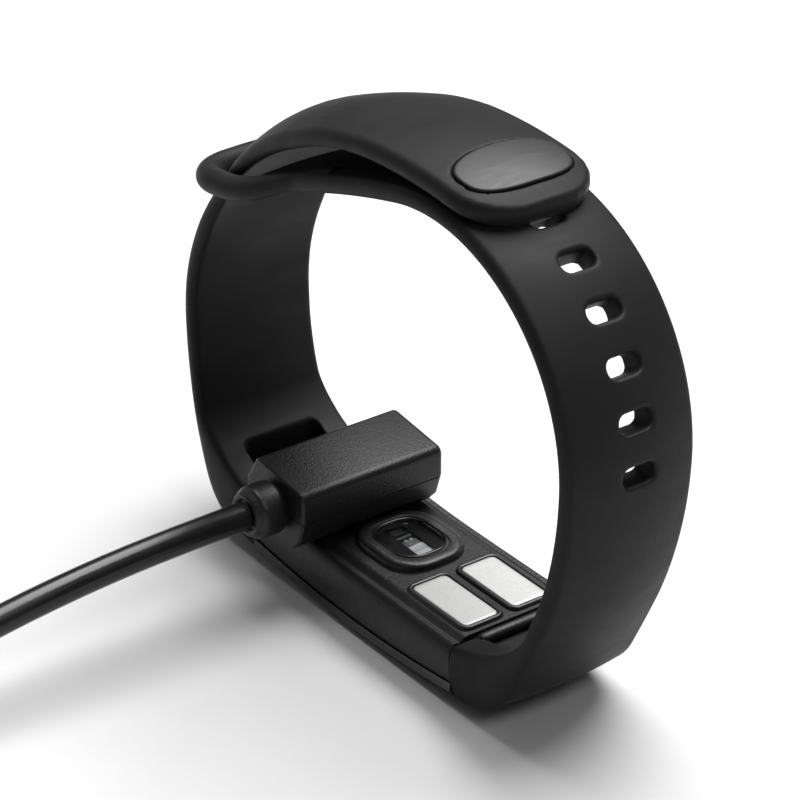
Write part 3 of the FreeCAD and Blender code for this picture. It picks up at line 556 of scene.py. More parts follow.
def make_contacts(front):
    """The gold strips on the tongue, all in one piece's mesh."""
    points, faces = [], []
    for low, high in (contact_strip(number, front) for number in range(4)):
        base, count = len(points), len(low)
        points += low + high
        for step in range(count):
            after = (step + 1) % count
            faces.append((base + step, base + after, base + count + after, base + count + step))
        faces += [tuple(range(base, base + count)), tuple(range(base + count, base + 2 * count))]
    return finish_piece(raw_mesh("usb_contact_strips", points, faces), "tracker", "gold_plate")


def make_plug():
    """The moulded grip, the steel shell, the contact tongue and its gold strips."""
    front = PLUG_BACK + GRIP_LENGTH
    grip = make_grip()
    shell = make_plug_shell(front)
    rings = [[Vector((PLUG_X + x, front + 0.2 + along, TONGUE_LOW + 0.85 + z * grow))
              for x, z in rounded_outline(10.9 * grow, 1.7, 0.2)]
             for along, grow in ((0.0, 1.0), (16.6, 1.0), (17.1, 0.96))]
    tongue = loft("usb_contact_tongue", rings)
    finish_piece(tongue, "tracker", "usb_tongue", "usb_tongue")
    return [grip, shell, tongue, make_contacts(front)]


def make_tie():
    """A flat strip wound round the bundle."""
    angle = math.radians(-35)
    outward = Vector((math.cos(angle), math.sin(angle), 0))
    ahead = Vector((-outward.y, outward.x, 0))
    centre = COIL_CENTRE + outward * 17.5 + Vector((0, 0, 3.95))
    loops = []
    for along in (-3.0, -2.7, 2.7, 3.0):
        inset = 0.0 if abs(along) < 2.9 else 0.12
        outer = rounded_outline(8.4 - 2 * inset, 7.8 - 2 * inset, 2.0)
        loops.append([centre + outward * x + Vector((0, 0, z)) + ahead * along for x, z in outer])
    inner = rounded_outline(7.6, 7.0, 1.7)
    for along in (3.0, -3.0):
        loops.append([centre + outward * x + Vector((0, 0, z)) + ahead * along for x, z in inner])
    tie = loft("cable_strip_tie", loops, closed=True)
    finish_piece(tie, "tracker", "tie_strip", "cable_tie")
    return tie


plug_pieces = make_plug()
tie = make_tie()
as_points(cable_path)


# ---------------------------------------------------------------- straps

POD_HALF = 19.05      # half the pod's length
POD_TOP = 7.9         # its inner face at the middle
CURVE = 154.9         # height of the axis that the pod's faces curve round
END_TURN = math.degrees(math.asin(POD_HALF / CURVE))
TUCK = 0.75           # how far a strap's root reaches into the pod
ROOT_X = POD_HALF + 0.05 - TUCK
ROOT_LOW = CURVE - CURVE * math.cos(math.radians(END_TURN)) + 0.15 - TUCK * math.tan(math.radians(END_TURN))
ROOT_HIGH = 7.85
THICK = 2.0
VOXEL = 0.22
SIDE_HEADING = 65.0
CORNER = (8.6, SIDE_HEADING - END_TURN)
SIDE = (47.0, 90 - SIDE_HEADING)
CROWN_RADIUS = 25.0


def chain(start, heading, stretches, step=0.6):
    """Points along tangent arcs (radius, degrees) and lines (0, length), about a step apart."""
    points = [Vector(start)]
    for radius, amount in stretches:
        angle = math.radians(heading)
        here = points[-1]
        if radius == 0:
            count = max(int(amount / step), 1)
            points += [here + Vector((math.cos(angle), math.sin(angle))) * amount * k / count
                       for k in range(1, count + 1)]
        else:
            centre = here + Vector((-math.sin(angle), math.cos(angle))) * radius
            spoke = here - centre
            count = max(int(math.radians(amount) * radius / step), 2)
            for k in range(1, count + 1):
                turn = math.radians(amount * k / count)
                points.append(centre + Vector((spoke.x * math.cos(turn) - spoke.y * math.sin(turn),
                                               spoke.x * math.sin(turn) + spoke.y * math.cos(turn))))
            heading += amount
    return points


def through(controls, count):
    """A smooth line through control points, as count + 1 points."""
    points = []
    ends = [controls[0] * 2 - controls[1]] + controls + [controls[-1] * 2 - controls[-2]]
    spans = len(controls) - 1
    for k in range(count + 1):
        place = min(k * spans / count, spans - 1e-9)
        span = int(place)
        t = place - span
        a, b, c, d = ends[span:span + 4]
        points.append(0.5 * (2 * b + (c - a) * t + (2 * a - 5 * b + 4 * c - d) * t * t
                             + (3 * b - a - 3 * c + d) * t ** 3))
    return points


class Line:
    """A polyline read by distance along it."""

    def __init__(self, points):
        self.points = [Vector(point) for point in points]
        self.marks = [0.0]
        for before, after in zip(self.points, self.points[1:]):
            self.marks.append(self.marks[-1] + (after - before).length)
        self.length = self.marks[-1]

    def at(self, distance):
        distance = min(max(distance, 0.0), self.length)
        low, high = 0, len(self.marks) - 1
        while high - low > 1:
            middle = (low + high) // 2
            if self.marks[middle] <= distance:
                low = middle
            else:
                high = middle
        share = (distance - self.marks[low]) / max(self.marks[high] - self.marks[low], 1e-9)
        return self.points[low].lerp(self.points[high], share)

    def outward(self, distance):
        """The unit normal on the right of the line, which is outside for a strap drawn anticlockwise."""
        ahead = self.at(distance + 0.8) - self.at(distance - 0.8)
        return Vector((ahead.y, -ahead.x)).normalized()


def bezier(a, b, c, d, count=24):
    """Points along a cubic curve with ends a and d."""
    return [a * (1 - t) ** 3 + b * 3 * t * (1 - t) ** 2 + c * 3 * t * t * (1 - t) + d * t ** 3
            for t in (k / count for k in range(count + 1))]


ROOT_END = 21.5       # how far along the outer line the thick root reaches
ROOT_INNER = [Vector((ROOT_X, ROOT_HIGH)), Vector((25.5, 8.3)), Vector((30.3, 13.5))]


class Band:
    """A strap as a bent sheet: place(s, y, level) with level +1 outside and -1 inside."""

    def __init__(self, outer_points, thickness, crown, curl, side):
        self.outer = Line(outer_points)
        self.thickness, self.crown, self.curl, self.side = thickness, crown, curl, side
        joined = self.outer.at(ROOT_END) - self.outer.outward(ROOT_END) * thickness(ROOT_END)
        self.root = Line(bezier(*ROOT_INNER, joined))

    def inner_at(self, s):
        if s < ROOT_END:
            return self.root.at(self.root.length * s / ROOT_END)
        return self.outer.at(s) - self.outer.outward(s) * self.thickness(s)

    def place(self, s, y, level, width):
        out, inn = self.outer.at(s), self.inner_at(s)
        normal = self.outer.outward(s)
        middle = (out + inn) / 2 + (out - inn) / 2 * level
        hump = max(1 - (y / width) ** 2, 0.0)
        middle = middle + normal * hump * (self.curl(s) + self.crown(s) * (level + 1) / 2)
        return Vector((middle.x * self.side, y, middle.y))


def pillow(name, outline, rows, columns, edge, place):
    """A sheet with rounded edges.

    outline holds 2 * (rows + columns) points (s, y) round the sheet, starting at a corner and running along
    the first row of columns. Loops step in from it by the edge's rounding, and a grid fills the middle.
    """
    count = len(outline)
    steps = [0.0, 0.034, 0.134, 0.293, 0.5, 0.741, 1.0]      # a quarter circle's shares of the rounding
    flat = [Vector(point) for point in outline]
    inward = []
    for index in range(count):
        ahead = flat[(index + 1) % count] - flat[index - 1]
        inward.append(Vector((-ahead.y, ahead.x)).normalized())
    area = sum(a.x * b.y - b.x * a.y for a, b in zip(flat, flat[1:] + flat[:1]))
    if area < 0:
        inward = [-direction for direction in inward]
    loops = [[point + direction * edge * share for point, direction in zip(flat, inward)] for share in steps]
    rim = loops[-1]
    south = rim[:columns + 1]
    east = rim[columns:columns + rows + 1]
    north = list(reversed(rim[columns + rows:2 * columns + rows + 1]))
    west = list(reversed(rim[2 * columns + rows:] + rim[:1]))
    points, faces, index_of = [], [], {}

    def vertex(key, spot, level):
        if key not in index_of:
            index_of[key] = len(points)
            points.append(place(spot.x, spot.y, level))
        return index_of[key]

    def loop_vertex(depth, index, layer):
        index %= count
        level = math.sqrt(max(1 - (1 - steps[depth]) ** 2, 0.0)) * layer
        if depth == len(steps) - 1:
            return grid_vertex(*rim_cell(index), layer)
        return vertex(("edge", index) if depth == 0 else (depth, index, layer), loops[depth][index], level)

    def rim_cell(index):
        if index <= columns:
            return 0, index
        if index <= columns + rows:
            return index - columns, columns
        if index <= 2 * columns + rows:
            return rows, 2 * columns + rows - index
        return 2 * (columns + rows) - index, 0

    def grid_vertex(row, column, layer):
        v, u = row / rows, column / columns
        spot = (south[column] * (1 - v) + north[column] * v + west[row] * (1 - u) + east[row] * u
                - (south[0] * (1 - u) + south[-1] * u) * (1 - v) - (north[0] * (1 - u) + north[-1] * u) * v)
        return vertex(("grid", row, column, layer), spot, layer)

    for layer in (1, -1):
        for depth in range(len(steps) - 1):
            for index in range(count):
                faces.append((loop_vertex(depth, index, layer), loop_vertex(depth, index + 1, layer),
                              loop_vertex(depth + 1, index + 1, layer), loop_vertex(depth + 1, index, layer)))
        for row in range(rows):
            for column in range(columns):
                faces.append((grid_vertex(row, column, layer), grid_vertex(row, column + 1, layer),
                              grid_vertex(row + 1, column + 1, layer), grid_vertex(row + 1, column, layer)))
    return raw_mesh(name, points, faces)


def strip_outline(start, end, width, rows, columns, tip=0.0):
    """The flat outline of a strap from s = start to end, with corners of radius tip at the far end."""
    outline = [(start, width(start) * (2 * k / columns - 1)) for k in range(columns)]
    outline += [(start + (end - tip - start) * k / rows, width(start + (end - tip - start) * k / rows))
                for k in range(rows)]
    if tip:
        half, far = width(end - tip), []
        flat_run, arc_run = 2 * (half - tip), math.pi / 2 * tip
        whole = flat_run + 2 * arc_run
        for k in range(columns):
            here = whole * k / columns
            if here < arc_run:
                turn = here / tip
                far.append((end - tip + tip * math.sin(turn), half - tip + tip * math.cos(turn)))
            elif here < arc_run + flat_run:
                far.append((end, half - tip - (here - arc_run)))
            else:
                turn = (here - arc_run - flat_run) / tip
                far.append((end - tip + tip * math.cos(turn), -half + tip - tip * math.sin(turn)))
        outline += far
    else:
        outline += [(end, width(end) * (1 - 2 * k / columns)) for k in range(columns)]
    outline += [(end - tip - (end - tip - start) * k / rows,
                 -width(end - tip - (end - tip - start) * k / rows)) for k in range(rows)]
    return outline


def root_pocket(side):
    """The recess in a strap's inner face beside the pod."""
    plan = rounded_outline(9.6, 10.8, 1.0)
    floor = 7.1 if side > 0 else 6.2
    loops = [[Vector((side * (22.4 + x), y, level)) for x, y in plan] for level in (floor, 16.0)]
    return loft("pocket", loops)


# ---- the strap with the slots and the loop

SLOT_PITCH = 5.76
SLOT_SIZE = (2.15, 4.25)
SLOT_CORNER = 0.9
SLOTS = 9
SEVENTH_SLOT = 82.2          # degrees round the crown
LOOP_LIFT = math.radians(14.8)
HOLE_RUN, HOLE_RISE = 2.4 + TUCK, 8.4      # the straight before the corner, and after it
HOLE_LINE = chain((ROOT_X, ROOT_LOW), END_TURN, [(0, HOLE_RUN), CORNER, (0, HOLE_RISE), SIDE,
                                                 (CROWN_RADIUS, 103.8), (140.0, 11.6)])
hole_band = Band(HOLE_LINE, lambda s: THICK, lambda s: 1.3 * ease(s, 2, 18) * (1 - 0.65 * ease(s, 90, 112)),
                 lambda s: 0.0, 1)
CROWN_START = HOLE_RUN + math.radians(CORNER[1]) * CORNER[0] + HOLE_RISE + math.radians(SIDE[1]) * SIDE[0]


def hole_width(s):
    return 9.5 - 0.75 * ease(s, 4, 30)


def slot_cutter(s):
    """A rounded slot that flares at both faces of the strap."""
    levels = ((-3.2, 0.8), (-2.5, 0.4), (-2.2, 0.16), (-1.9, 0.03), (-0.9, 0.0), (0.7, 0.0), (0.95, 0.06),
              (1.2, 0.22), (1.5, 0.55), (2.0, 1.1))
    base, normal = hole_band.outer.at(s), hole_band.outer.outward(s)
    ahead = Vector((-normal.y, normal.x))
    loops = []
    for height, grow in levels:
        plan = rounded_outline(SLOT_SIZE[0] + 2 * grow, SLOT_SIZE[1] + 2 * grow, SLOT_CORNER + grow, 8)
        spot = base + normal * height
        loops.append([Vector((spot.x + ahead.x * x, y, spot.y + ahead.y * x)) for x, y in plan])
    return loft("slot", loops)


BAR_STEPS = 120


def loop_bar():
    """The bar of the loop: arms that grow out of the strap's edges and a wide rounded end."""
    end = hole_band.outer.length
    normal = hole_band.outer.outward(end)
    base = hole_band.outer.at(end) - normal * THICK / 2
    along = Vector((-normal.y, normal.x))
    lifted = along * math.cos(LOOP_LIFT) + normal * math.sin(LOOP_LIFT)
    half, reach, corner = 9.45, 11.0, 6.6
    plan = [(-16.0, 6.9), (-11.0, 7.3), (-6.0, 8.2), (-2.0, 9.1), (1.5, half)]
    for step in range(9):
        turn = math.radians(90 * step / 8)
        plan.append((reach - corner + corner * math.sin(turn) ** 0.9,
                     half - corner + corner * math.cos(turn) ** 0.9))
    plan += [(reach + 0.12, 1.4), (reach + 0.15, 0.0)]
    plan += [(x, -y) for x, y in reversed(plan[:-1])]
    points, sizes = [], []
    for x, y in plan:
        direction = lifted if x > 0 else along
        spot = base + direction * x
        points.append(Vector((spot.x, y, spot.y)))
        sizes.append(0.95 + 0.6 * ease(x, -13, 3))
    last = len(sizes) - 1
    radii = [sizes[min(int(k * last / BAR_STEPS), last)] for k in range(BAR_STEPS + 1)]
    for _ in range(6):
        inner = [(a + b + c) / 3 for a, b, c in zip(radii, radii[1:], radii[2:])]
        radii = [radii[0], *inner, radii[-1]]
    return tube_along("bar", through(points, BAR_STEPS), radii, 24)


HOLE_ROWS, PEG_ROWS, STRAP_COLUMNS = 120, 130, 14
STRAP_EDGE, PEG_EDGE = 0.75, 0.8
TAB_TIP = 6.6


def make_slotted_strap():
    """The strap with the slots: a bent sheet, slots and pocket cut out, the loop's bar moulded on."""
    end = hole_band.outer.length
    outline = strip_outline(0.0, end, hole_width, HOLE_ROWS, STRAP_COLUMNS)
    strap = pillow("slotted_strap", outline, HOLE_ROWS, STRAP_COLUMNS, STRAP_EDGE,
                   lambda s, y, level: hole_band.place(s, y, level, hole_width(s)))
    step_angle = math.degrees(SLOT_PITCH / CROWN_RADIUS)
    first = SEVENTH_SLOT - 6 * step_angle
    cutters = [slot_cutter(CROWN_START + math.radians(first + number * step_angle) * CROWN_RADIUS)
               for number in range(SLOTS)]
    carve(strap, cutters + [root_pocket(1)])
    join(strap, loop_bar())
    remoulded(strap, 5)
    finish_piece(strap, "tracker", "silicone", "hole_strap")


# ---- the strap that carries the peg, with its tab

HINGE = Vector((-5.818, 0.0, 58.359))
PEG_SIDE_LINE = chain((ROOT_X, ROOT_LOW), END_TURN, [(0, 4.0 + TUCK), CORNER, (0, 1.0), SIDE])
OVER_LOOP = ((34.2, 31.8), (32.9, 36.3), (30.9, 40.6), (28.4, 44.7), (25.6, 48.5), (22.2, 51.9), (18.0, 54.9),
             (12.9, 57.6))
TAB_LINE = ((8.5, 59.6), (4.2, 60.9), (-0.6, 61.75), (-5.5, 62.0), (-10.5, 61.9), (-15.0, 61.5),
            (-18.4, 60.8), (-21.5, 59.6))
SIDE_OVERLAP = 8             # points of the side that the smooth line over the top starts from
OVER_TOP = through([PEG_SIDE_LINE[-SIDE_OVERLAP], PEG_SIDE_LINE[-1],
                    *(Vector(point) for point in OVER_LOOP + TAB_LINE)], 140)
PEG_POINTS = PEG_SIDE_LINE[:-SIDE_OVERLAP] + OVER_TOP[1:]
peg_line = Line(PEG_POINTS)
HINGE_S = next(peg_line.marks[k] for k, point in enumerate(peg_line.points) if k > 60 and point.x < -HINGE.x)
LOOP_S = HINGE_S - 23.0      # where it passes through the loop


def peg_thickness(s):
    return THICK + 0.2 * ease(s, HINGE_S - 4, HINGE_S + 10)


def peg_crown(s):
    straight = 1.25 * ease(s, 2, 18) - 0.55 * ease(s, LOOP_S - 16, LOOP_S - 4)
    return straight + 0.5 * ease(s, HINGE_S + 2, HINGE_S + 14)


def peg_curl(s):
    """Extra arching where the loop squeezes the strap."""
    return 1.6 * (ease(s, LOOP_S - 14, LOOP_S - 3) - ease(s, HINGE_S - 12, HINGE_S + 8))


def peg_width(s):
    root = 9.5 - 0.75 * ease(s, 4, 30)
    return root - 0.65 * ease(s, LOOP_S - 12, LOOP_S - 2) + 0.65 * ease(s, LOOP_S + 3, HINGE_S - 2)


peg_band = Band(PEG_POINTS, peg_thickness, peg_crown, peg_curl, -1)


PLATE_S = HINGE_S + 20.6
PLATE_LONG, PLATE_WIDE = 7.5, 13.6


def plate_loop(grow, lift, count=64, power=2.7):
    """The clasp plate's outline on the tab, grown or shrunk, at a height over the tab's surface."""
    loop = []
    for step in range(count):
        turn = 2 * math.pi * step / count
        along = math.copysign(abs(math.cos(turn)) ** (2 / power), math.cos(turn)) * (PLATE_LONG / 2 + grow)
        across = math.copysign(abs(math.sin(turn)) ** (2 / power), math.sin(turn)) * (PLATE_WIDE / 2 + grow)
        spot = peg_band.place(PLATE_S + along, across, 1, peg_width(PLATE_S))
        normal = peg_band.outer.outward(PLATE_S + along)
        loop.append(spot + Vector((-normal.x, 0, normal.y)) * lift)
    return loop


def make_clasp_plate():
    """The oval plate over the peg, a little proud of the silicone, with a bevelled rim and a faint dome."""
    loops = [plate_loop(-0.05, -0.5), plate_loop(0.0, -0.2), plate_loop(0.0, 0.05), plate_loop(-0.05, 0.11),
             plate_loop(-0.14, 0.15), plate_loop(-0.3, 0.16)]
    loops += [plate_loop(-shrink, 0.16 + 0.02 * shrink) for shrink in (0.8, 1.4, 2.0, 2.6, 3.1, 3.4, 3.55)]
    finish_piece(loft("clasp_oval_plate", loops), "clasp_tab", "clasp_plate", "peg_cap")


def make_peg_strap():
    """The strap and its tab in one skin."""
    end = peg_line.length
    outline = strip_outline(0.0, end, peg_width, PEG_ROWS, STRAP_COLUMNS, TAB_TIP)
    strap = pillow("peg_strap_and_tab", outline, PEG_ROWS, STRAP_COLUMNS, PEG_EDGE,
                   lambda s, y, level: peg_band.place(s, y, level, peg_width(min(s, end - TAB_TIP))))
    seat = loft("plate_seat", [plate_loop(0.2, -0.75), plate_loop(0.2, -0.1), plate_loop(0.3, 2.0)])
    carve(strap, [root_pocket(-1), seat])
    remoulded(strap, 4)
    finish_piece(strap, None, "silicone", "peg_strap", "strap_tab")
    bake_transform(strap)


make_slotted_strap()
make_peg_strap()
make_clasp_plate()


# ---------------------------------------------------------------- charger block

def on_pod(along):
    """Carries something built at X = 0 along the pod's inner face, curved for along < 0 and flat beyond 0."""
    if along > 0:
        return Matrix.Translation((along, 0, 0))
    turn = -math.asin(along / (CURVE - POD_TOP))
    to_axis = Matrix.Translation((0, 0, CURVE))
    return to_axis @ Matrix.Rotation(turn, 4, "Y") @ to_axis.inverted()


CHARGER_PLACE = on_pod(-10.9)
SENSOR_PLACE = on_pod(-1.0)
ELECTRODE_PLACE = on_pod(11.9)
SEAM = 12.2                  # height of the joint between the charger's shells
NEAR, FAR = -12.0, 8.3       # its cable end and far end


def rounded_polygon(corners, per_corner=6):
    """Points round a polygon whose corners are (x, z, radius)."""
    points = []
    for index, (x, z, radius) in enumerate(corners):
        here = Vector((x, z))
        back = (Vector(corners[index - 1][:2]) - here).normalized()
        ahead = (Vector(corners[(index + 1) % len(corners)][:2]) - here).normalized()
        half = back.angle(ahead) / 2
        centre = here + (back + ahead).normalized() * radius / math.sin(half)
        start = here + back * radius / math.tan(half) - centre
        sweep = math.pi - 2 * half
        sign = 1 if back.x * ahead.y - back.y * ahead.x < 0 else -1
        for step in range(per_corner + 1):
            turn = sign * sweep * step / per_corner
            points.append(centre + Vector((start.x * math.cos(turn) - start.y * math.sin(turn),
                                           start.x * math.sin(turn) + start.y * math.cos(turn))))
    return points


def drawn_in(corners, distance):
    """The outline with every side but the first moved inward, its corners less rounded."""
    lines = []
    count = len(corners)
    area = sum(corners[k][0] * corners[(k + 1) % count][1] - corners[(k + 1) % count][0] * corners[k][1]
               for k in range(count))
    for index in range(count):
        start, end = Vector(corners[index][:2]), Vector(corners[(index + 1) % count][:2])
        ahead = (end - start).normalized()
        inward = Vector((-ahead.y, ahead.x)) * math.copysign(1, area)
        lines.append((start + inward * (distance if index else 0.0), ahead))
    moved = []
    for index in range(count):
        (p, a), (q, b) = lines[index - 1], lines[index]
        reach = ((q - p).x * b.y - (q - p).y * b.x) / (a.x * b.y - a.y * b.x)
        spot = p + a * reach
        moved.append((spot.x, spot.y, max(corners[index][2] - distance, 0.1)))
    return moved


def charger_shell(name, corners, replaced):
    """One shell: its end outline carried along Y, with a tight edge at the cable end and a softer far end.

    corners are (x, z, radius), the seam's side first.
    """
    loops = []
    for y, edge, way in ((NEAR, 0.35, 1), (FAR, 0.75, -1)):
        ring = []
        for angle in (-1, 0, 18, 36, 54, 72, 90):
            turn = math.radians(max(angle, 0))
            inset = edge * (1 - math.sin(turn)) + (0.25 if angle < 0 else 0.0)
            outline = rounded_polygon(drawn_in(corners, inset))
            station = y + way * edge * (1 - math.cos(turn))
            ring.append([CHARGER_PLACE @ Vector((p.x, station, p.y)) for p in outline])
        loops += ring if way > 0 else list(reversed(ring))
    shell = loft(name, loops)
    finish_piece(shell, "charger", "charger_plastic", replaced)


def make_charger():
    """Two shells that meet at the seam, and the turned strain relief on the cable end."""
    above = [(-6.2, SEAM + 0.02, 0.12), (5.15, SEAM + 0.02, 0.12), (4.75, 15.95, 1.15), (-4.5, 16.4, 0.8),
             (-6.2, 12.9, 0.5)]
    below = [(5.1, SEAM - 0.06, 0.12), (-6.15, SEAM - 0.06, 0.12), (-6.1, 9.2, 0.6), (-4.6, 8.05, 0.6),
             (3.4, 8.05, 0.8), (4.55, 9.5, 0.8)]
    charger_shell("charger_top_cover", above, "charger_upper_shell")
    charger_shell("charger_base_cover", below, "charger_lower_shell")
    outline = ((-0.5, 2.6), (0.3, 2.62), (0.42, 2.7), (0.55, 3.0), (0.75, 3.14), (1.1, 3.2), (2.9, 3.2),
               (3.3, 3.16), (3.5, 3.06), (3.58, 2.94), (3.66, 2.88), (4.15, 2.66), (4.32, 2.52), (4.4, 2.34),
               (4.38, 2.1), (4.2, 1.9), (3.9, 1.75))
    base = CHARGER_PLACE @ Vector((-0.3, NEAR, SEAM))
    sleeve = lathe("strain_relief_sleeve", outline, base, (0, -1, 0))
    finish_piece(sleeve, "charger", "relief_rubber", "strain_relief")


# ---------------------------------------------------------------- pod's back, sensor and electrodes

BACK_LOW = 2.1               # where the moulded back meets the bezel
LIP_RADIUS = 0.75
LIP_ENDS = ((6.0, 0.35), (5.9, 0.7), (5.6, 0.95), (5.2, 1.0))      # (distance across, share of the radius)


def make_end_lip():
    """The round moulded lip across the pod's end, where the slotted strap is caught."""
    circle = [Vector((math.cos(2 * math.pi * k / 20), math.sin(2 * math.pi * k / 20))) * LIP_RADIUS
              for k in range(20)]
    stations = [(-y, share) for y, share in LIP_ENDS] + list(reversed(LIP_ENDS))
    loops = [[Vector((POD_HALF + 0.3 + p.x * share, y, POD_TOP - 0.3 + p.y * share)) for p in circle]
             for y, share in stations]
    finish_piece(loft("pod_end_lip", loops), "tracker", "housing_plastic")


def flattened(x, z):
    """How far a point of the back drops so its top is flat toward the slotted strap; none at the bezel."""
    bend = CURVE - POD_TOP - math.sqrt((CURVE - POD_TOP) ** 2 - x * x)
    return bend * (z - BACK_LOW) / (POD_TOP - BACK_LOW) if x > 0 else 0.0


def swept(name, section, trim, steps):
    """A (y, z) section carried round the wrist axis from end to end of the pod, less a trim at each end."""
    reach = math.asin((POD_HALF - trim) / CURVE)
    loops = []
    for step in range(steps + 1):
        turn = reach * (2 * step / steps - 1)
        loop = []
        for y, z in section:
            x = (CURVE - z) * math.sin(turn)
            loop.append(Vector((x, y, CURVE - (CURVE - z) * math.cos(turn) - flattened(x, z))))
        loops.append(loop)
    return loft(name, loops)


def both_sides(half):
    """A half section given for y > 0, with its mirror image after it."""
    return half + [(-y, z) for y, z in reversed(half)]


def make_pod_back():
    """The moulded back: a flat top between two long beads, and sides that roll under to the bezel."""
    outer = [(y, POD_TOP) for y in (1.0, 3.0, 4.8, 5.2, 5.5, 5.8, 6.2)]
    outer += [(6.75, 7.9), (7.05, 7.8), (7.35, 7.58), (7.62, 7.4), (7.85, 7.33), (8.05, 7.36), (8.25, 7.43),
              (8.45, 7.42), (8.65, 7.28), (8.88, 6.98), (9.1, 6.5), (9.3, 5.9), (9.43, 5.2), (9.5, 4.3),
              (9.5, 2.6), (9.44, 2.25), (9.3, BACK_LOW)]
    back = swept("pod_back_cover", both_sides(outer), 0.0, 48)
    hollow = swept("hollow", both_sides([(6.6, 6.9), (7.7, 6.3), (8.4, 5.2), (8.6, 1.5)]), 1.0, 24)
    opening = loft("sensor_opening", [[SENSOR_PLACE @ Vector((x, y, level))
                                       for x, y in rounded_outline(7.8, 7.2, 3.0)] for level in (6.0, 9.0)])
    carve(back, [hollow, opening])
    finish_piece(back, "tracker", "housing_plastic", "rear_housing")


def face_loop(place, length, width, corner, height, y=0.0, per_corner=6):
    """A rounded outline laid on the pod's inner face at a height over it."""
    return [place @ Vector((x, across + y, POD_TOP + height))
            for x, across in rounded_outline(length, width, corner, per_corner)]


def ring_of(name, length, width, corner, profile, place, y=0.0):
    """A moulded frame from (height over the pod's face, growth of its outline) pairs, closed in section."""
    loops = [face_loop(place, length + 2 * grow, width + 2 * grow, corner + grow, height, y, 10)
             for height, grow in profile]
    return loft(name, loops, closed=True)


RING_PROFILE = [(-0.1, 0.3), (0.02, 0.16), (0.12, 0.05), (0.3, 0.0), (0.62, -0.05), (0.82, -0.18),
                (0.94, -0.4), (0.98, -0.7), (0.98, -1.5), (0.94, -1.6), (0.86, -1.64), (0.8, -1.68),
                (0.8, -1.9), (0.8, -2.05), (0.2, -2.05), (-0.1, -2.05)]
RIM_PROFILE = [(0.7, 0.1), (0.9, 0.11), (0.99, 0.04), (1.0, -0.06), (0.93, -0.14), (0.7, -0.16)]
SURROUND_PROFILE = [(-0.15, 0.14), (0.04, 0.05), (0.18, 0.0), (0.34, -0.07), (0.43, -0.2), (0.45, -0.36),
                    (0.4, -0.52), (0.3, -0.62), (-0.15, -0.64)]
DOME_PROFILE = ((0, 0.26), (0.15, 0.26), (0.24, 0.2), (0.29, 0.1), (0.3, 0.02))
LED_X, LED_APART = -0.35, 0.36


def make_sensor():
    """The raised ring, the rim round its window, and the chips and lenses in the dark mask under it."""
    ring = ring_of("sensor_raised_ring", 12.0, 10.6, 4.2, RING_PROFILE, SENSOR_PLACE)
    finish_piece(ring, "tracker", "sensor_bezel", "sensor_ring")
    rim = ring_of("sensor_window_rim", 8.1, 7.3, 3.0, RIM_PROFILE, SENSOR_PLACE)
    finish_piece(rim, "tracker", "bezel_gloss")
    mask = ((0.24, 7.6, 7.0, 2.9), (0.12, 7.6, 7.0, 2.9), (0.12, 6.4, 2.4, 0.25), (0.24, 6.4, 2.4, 0.25))
    loops = [face_loop(SENSOR_PLACE, length, width, corner, height, 0.0, 8)
             for height, length, width, corner in mask]
    finish_piece(loft("sensor_light_mask", loops, closed=True), "tracker", "light_baffle")
    chip("photodiode_die", 1.5, 1.1, 2.1, 0.12, "sensor_chip", "photodiode")
    chip("photodiode_frame", 2.6, 0.9, 2.1, 0.10, "sensor_chip")
    chip("led_carrier", LED_X, 2.2, 2.1, 0.04, "core_plastic")
    chip("led_side_window", -2.45, 1.3, 1.7, 0.04, "usb_tongue")
    domes = [lathe("sensor_led_domes", DOME_PROFILE,
                   SENSOR_PLACE @ Vector((LED_X, side * LED_APART, POD_TOP - 0.1)), (0, 0, 1), 24)
             for side in (-1, 1)]
    join(*domes)
    finish_piece(domes[0], "tracker", "led_lens", "sensor_leds")


def chip(name, x, length, width, level, slot, *replaced):
    """A small block under the sensor's window, its top edges bevelled."""
    place = SENSOR_PLACE @ Matrix.Translation((x, 0, 0))
    loops = [face_loop(place, length + 2 * grow, width + 2 * grow, 0.12 + grow, height, 0.0, 3)
             for height, grow in ((-0.6, 0.0), (level - 0.04, 0.0), (level, -0.04), (level, -0.09))]
    finish_piece(loft(name, loops), "tracker", slot, *replaced)


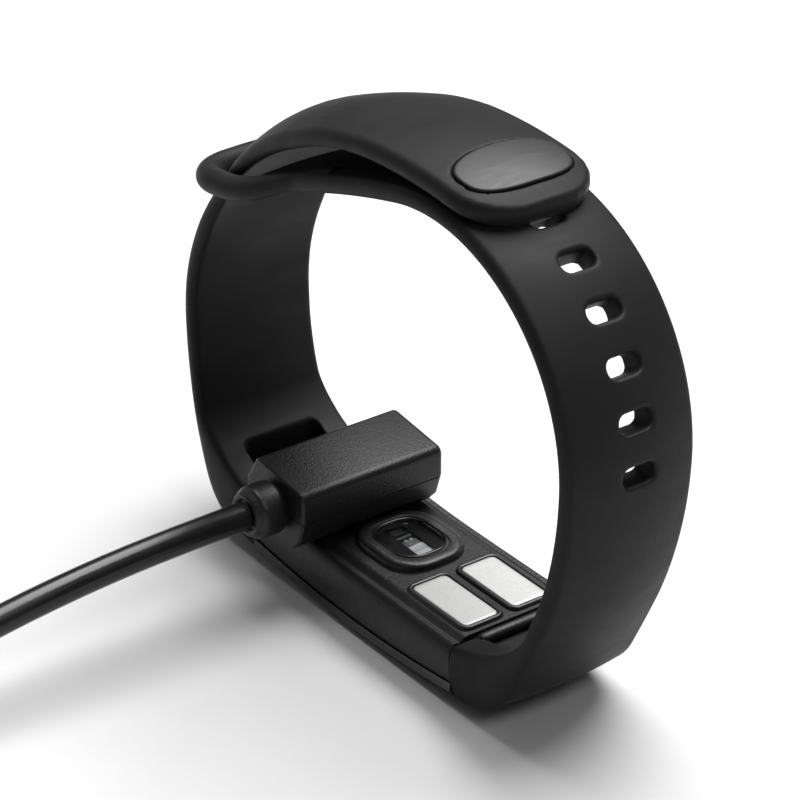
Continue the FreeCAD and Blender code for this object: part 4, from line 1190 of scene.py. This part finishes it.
def make_electrodes():
    """Two pale pads, each in a raised black surround."""
    for side, word in ((-1, "front"), (1, "rear")):
        y = side * 3.5
        surround = ring_of(f"electrode_surround_{word}", 11.2, 6.2, 1.3, SURROUND_PROFILE, ELECTRODE_PLACE, y)
        finish_piece(surround, "tracker", "electrode_seal", f"electrode_frame_{word}")
        pad = [face_loop(ELECTRODE_PLACE, 9.86 + 2 * grow, 4.86 + 2 * grow, 0.7 + grow, height, y, 8)
               for height, grow in ((-0.1, 0.0), (0.24, 0.0), (0.3, -0.04), (0.33, -0.12), (0.335, -0.5))]
        finish_piece(loft(f"electrode_pad_{word}", pad), "tracker", "electrode_steel", f"electrode_{word}")


make_charger()
make_pod_back()
make_end_lip()
make_sensor()
make_electrodes()


# ---------------------------------------------------------------- room and light

FLOOR_HALF = 4000
# Each lamp's name, place, size and power.
LAMPS = (("overhead", (-150, 300, 900), 900, 21.0), ("left", (-420, -160, 260), 260, 0.12),
         ("right", (520, 0, 640), 260, 1.2))


def make_room():
    """A pale level floor, with soft light from above and both sides."""
    corners = [(x * FLOOR_HALF, y * FLOOR_HALF, 0) for x, y in ((-1, -1), (1, -1), (1, 1), (-1, 1))]
    floor = raw_mesh("floor", corners, [(0, 1, 2, 3)])
    paint_of_floor = Finish("floor_paint")
    paint_of_floor.colour(paint_of_floor.noise(40, 2.0), (0.56, 0.56, 0.56), (0.58, 0.58, 0.58))
    floor.data.materials.append(paint_of_floor.done(Roughness=0.9, Specular_IOR_Level=0.1))
    world = bpy.data.worlds.new("studio")
    world.use_nodes = True
    world.node_tree.nodes["Background"].inputs["Color"].default_value = (1, 1, 1, 1)
    world.node_tree.nodes["Background"].inputs["Strength"].default_value = 0.11
    bpy.context.scene.world = world
    for name, place, size, power in LAMPS:
        data = bpy.data.lights.new(name, "AREA")
        data.shape = "DISK"
        data.size = size * MM
        data.energy = power
        lamp = bpy.data.objects.new(name, data)
        lamp.location = Vector(place) * MM
        lamp.rotation_euler = (LOOK_AT - Vector(place)).to_track_quat("-Z", "Y").to_euler()
        bpy.context.scene.collection.objects.link(lamp)
    bpy.context.scene.view_settings.view_transform = "Standard"


make_room()
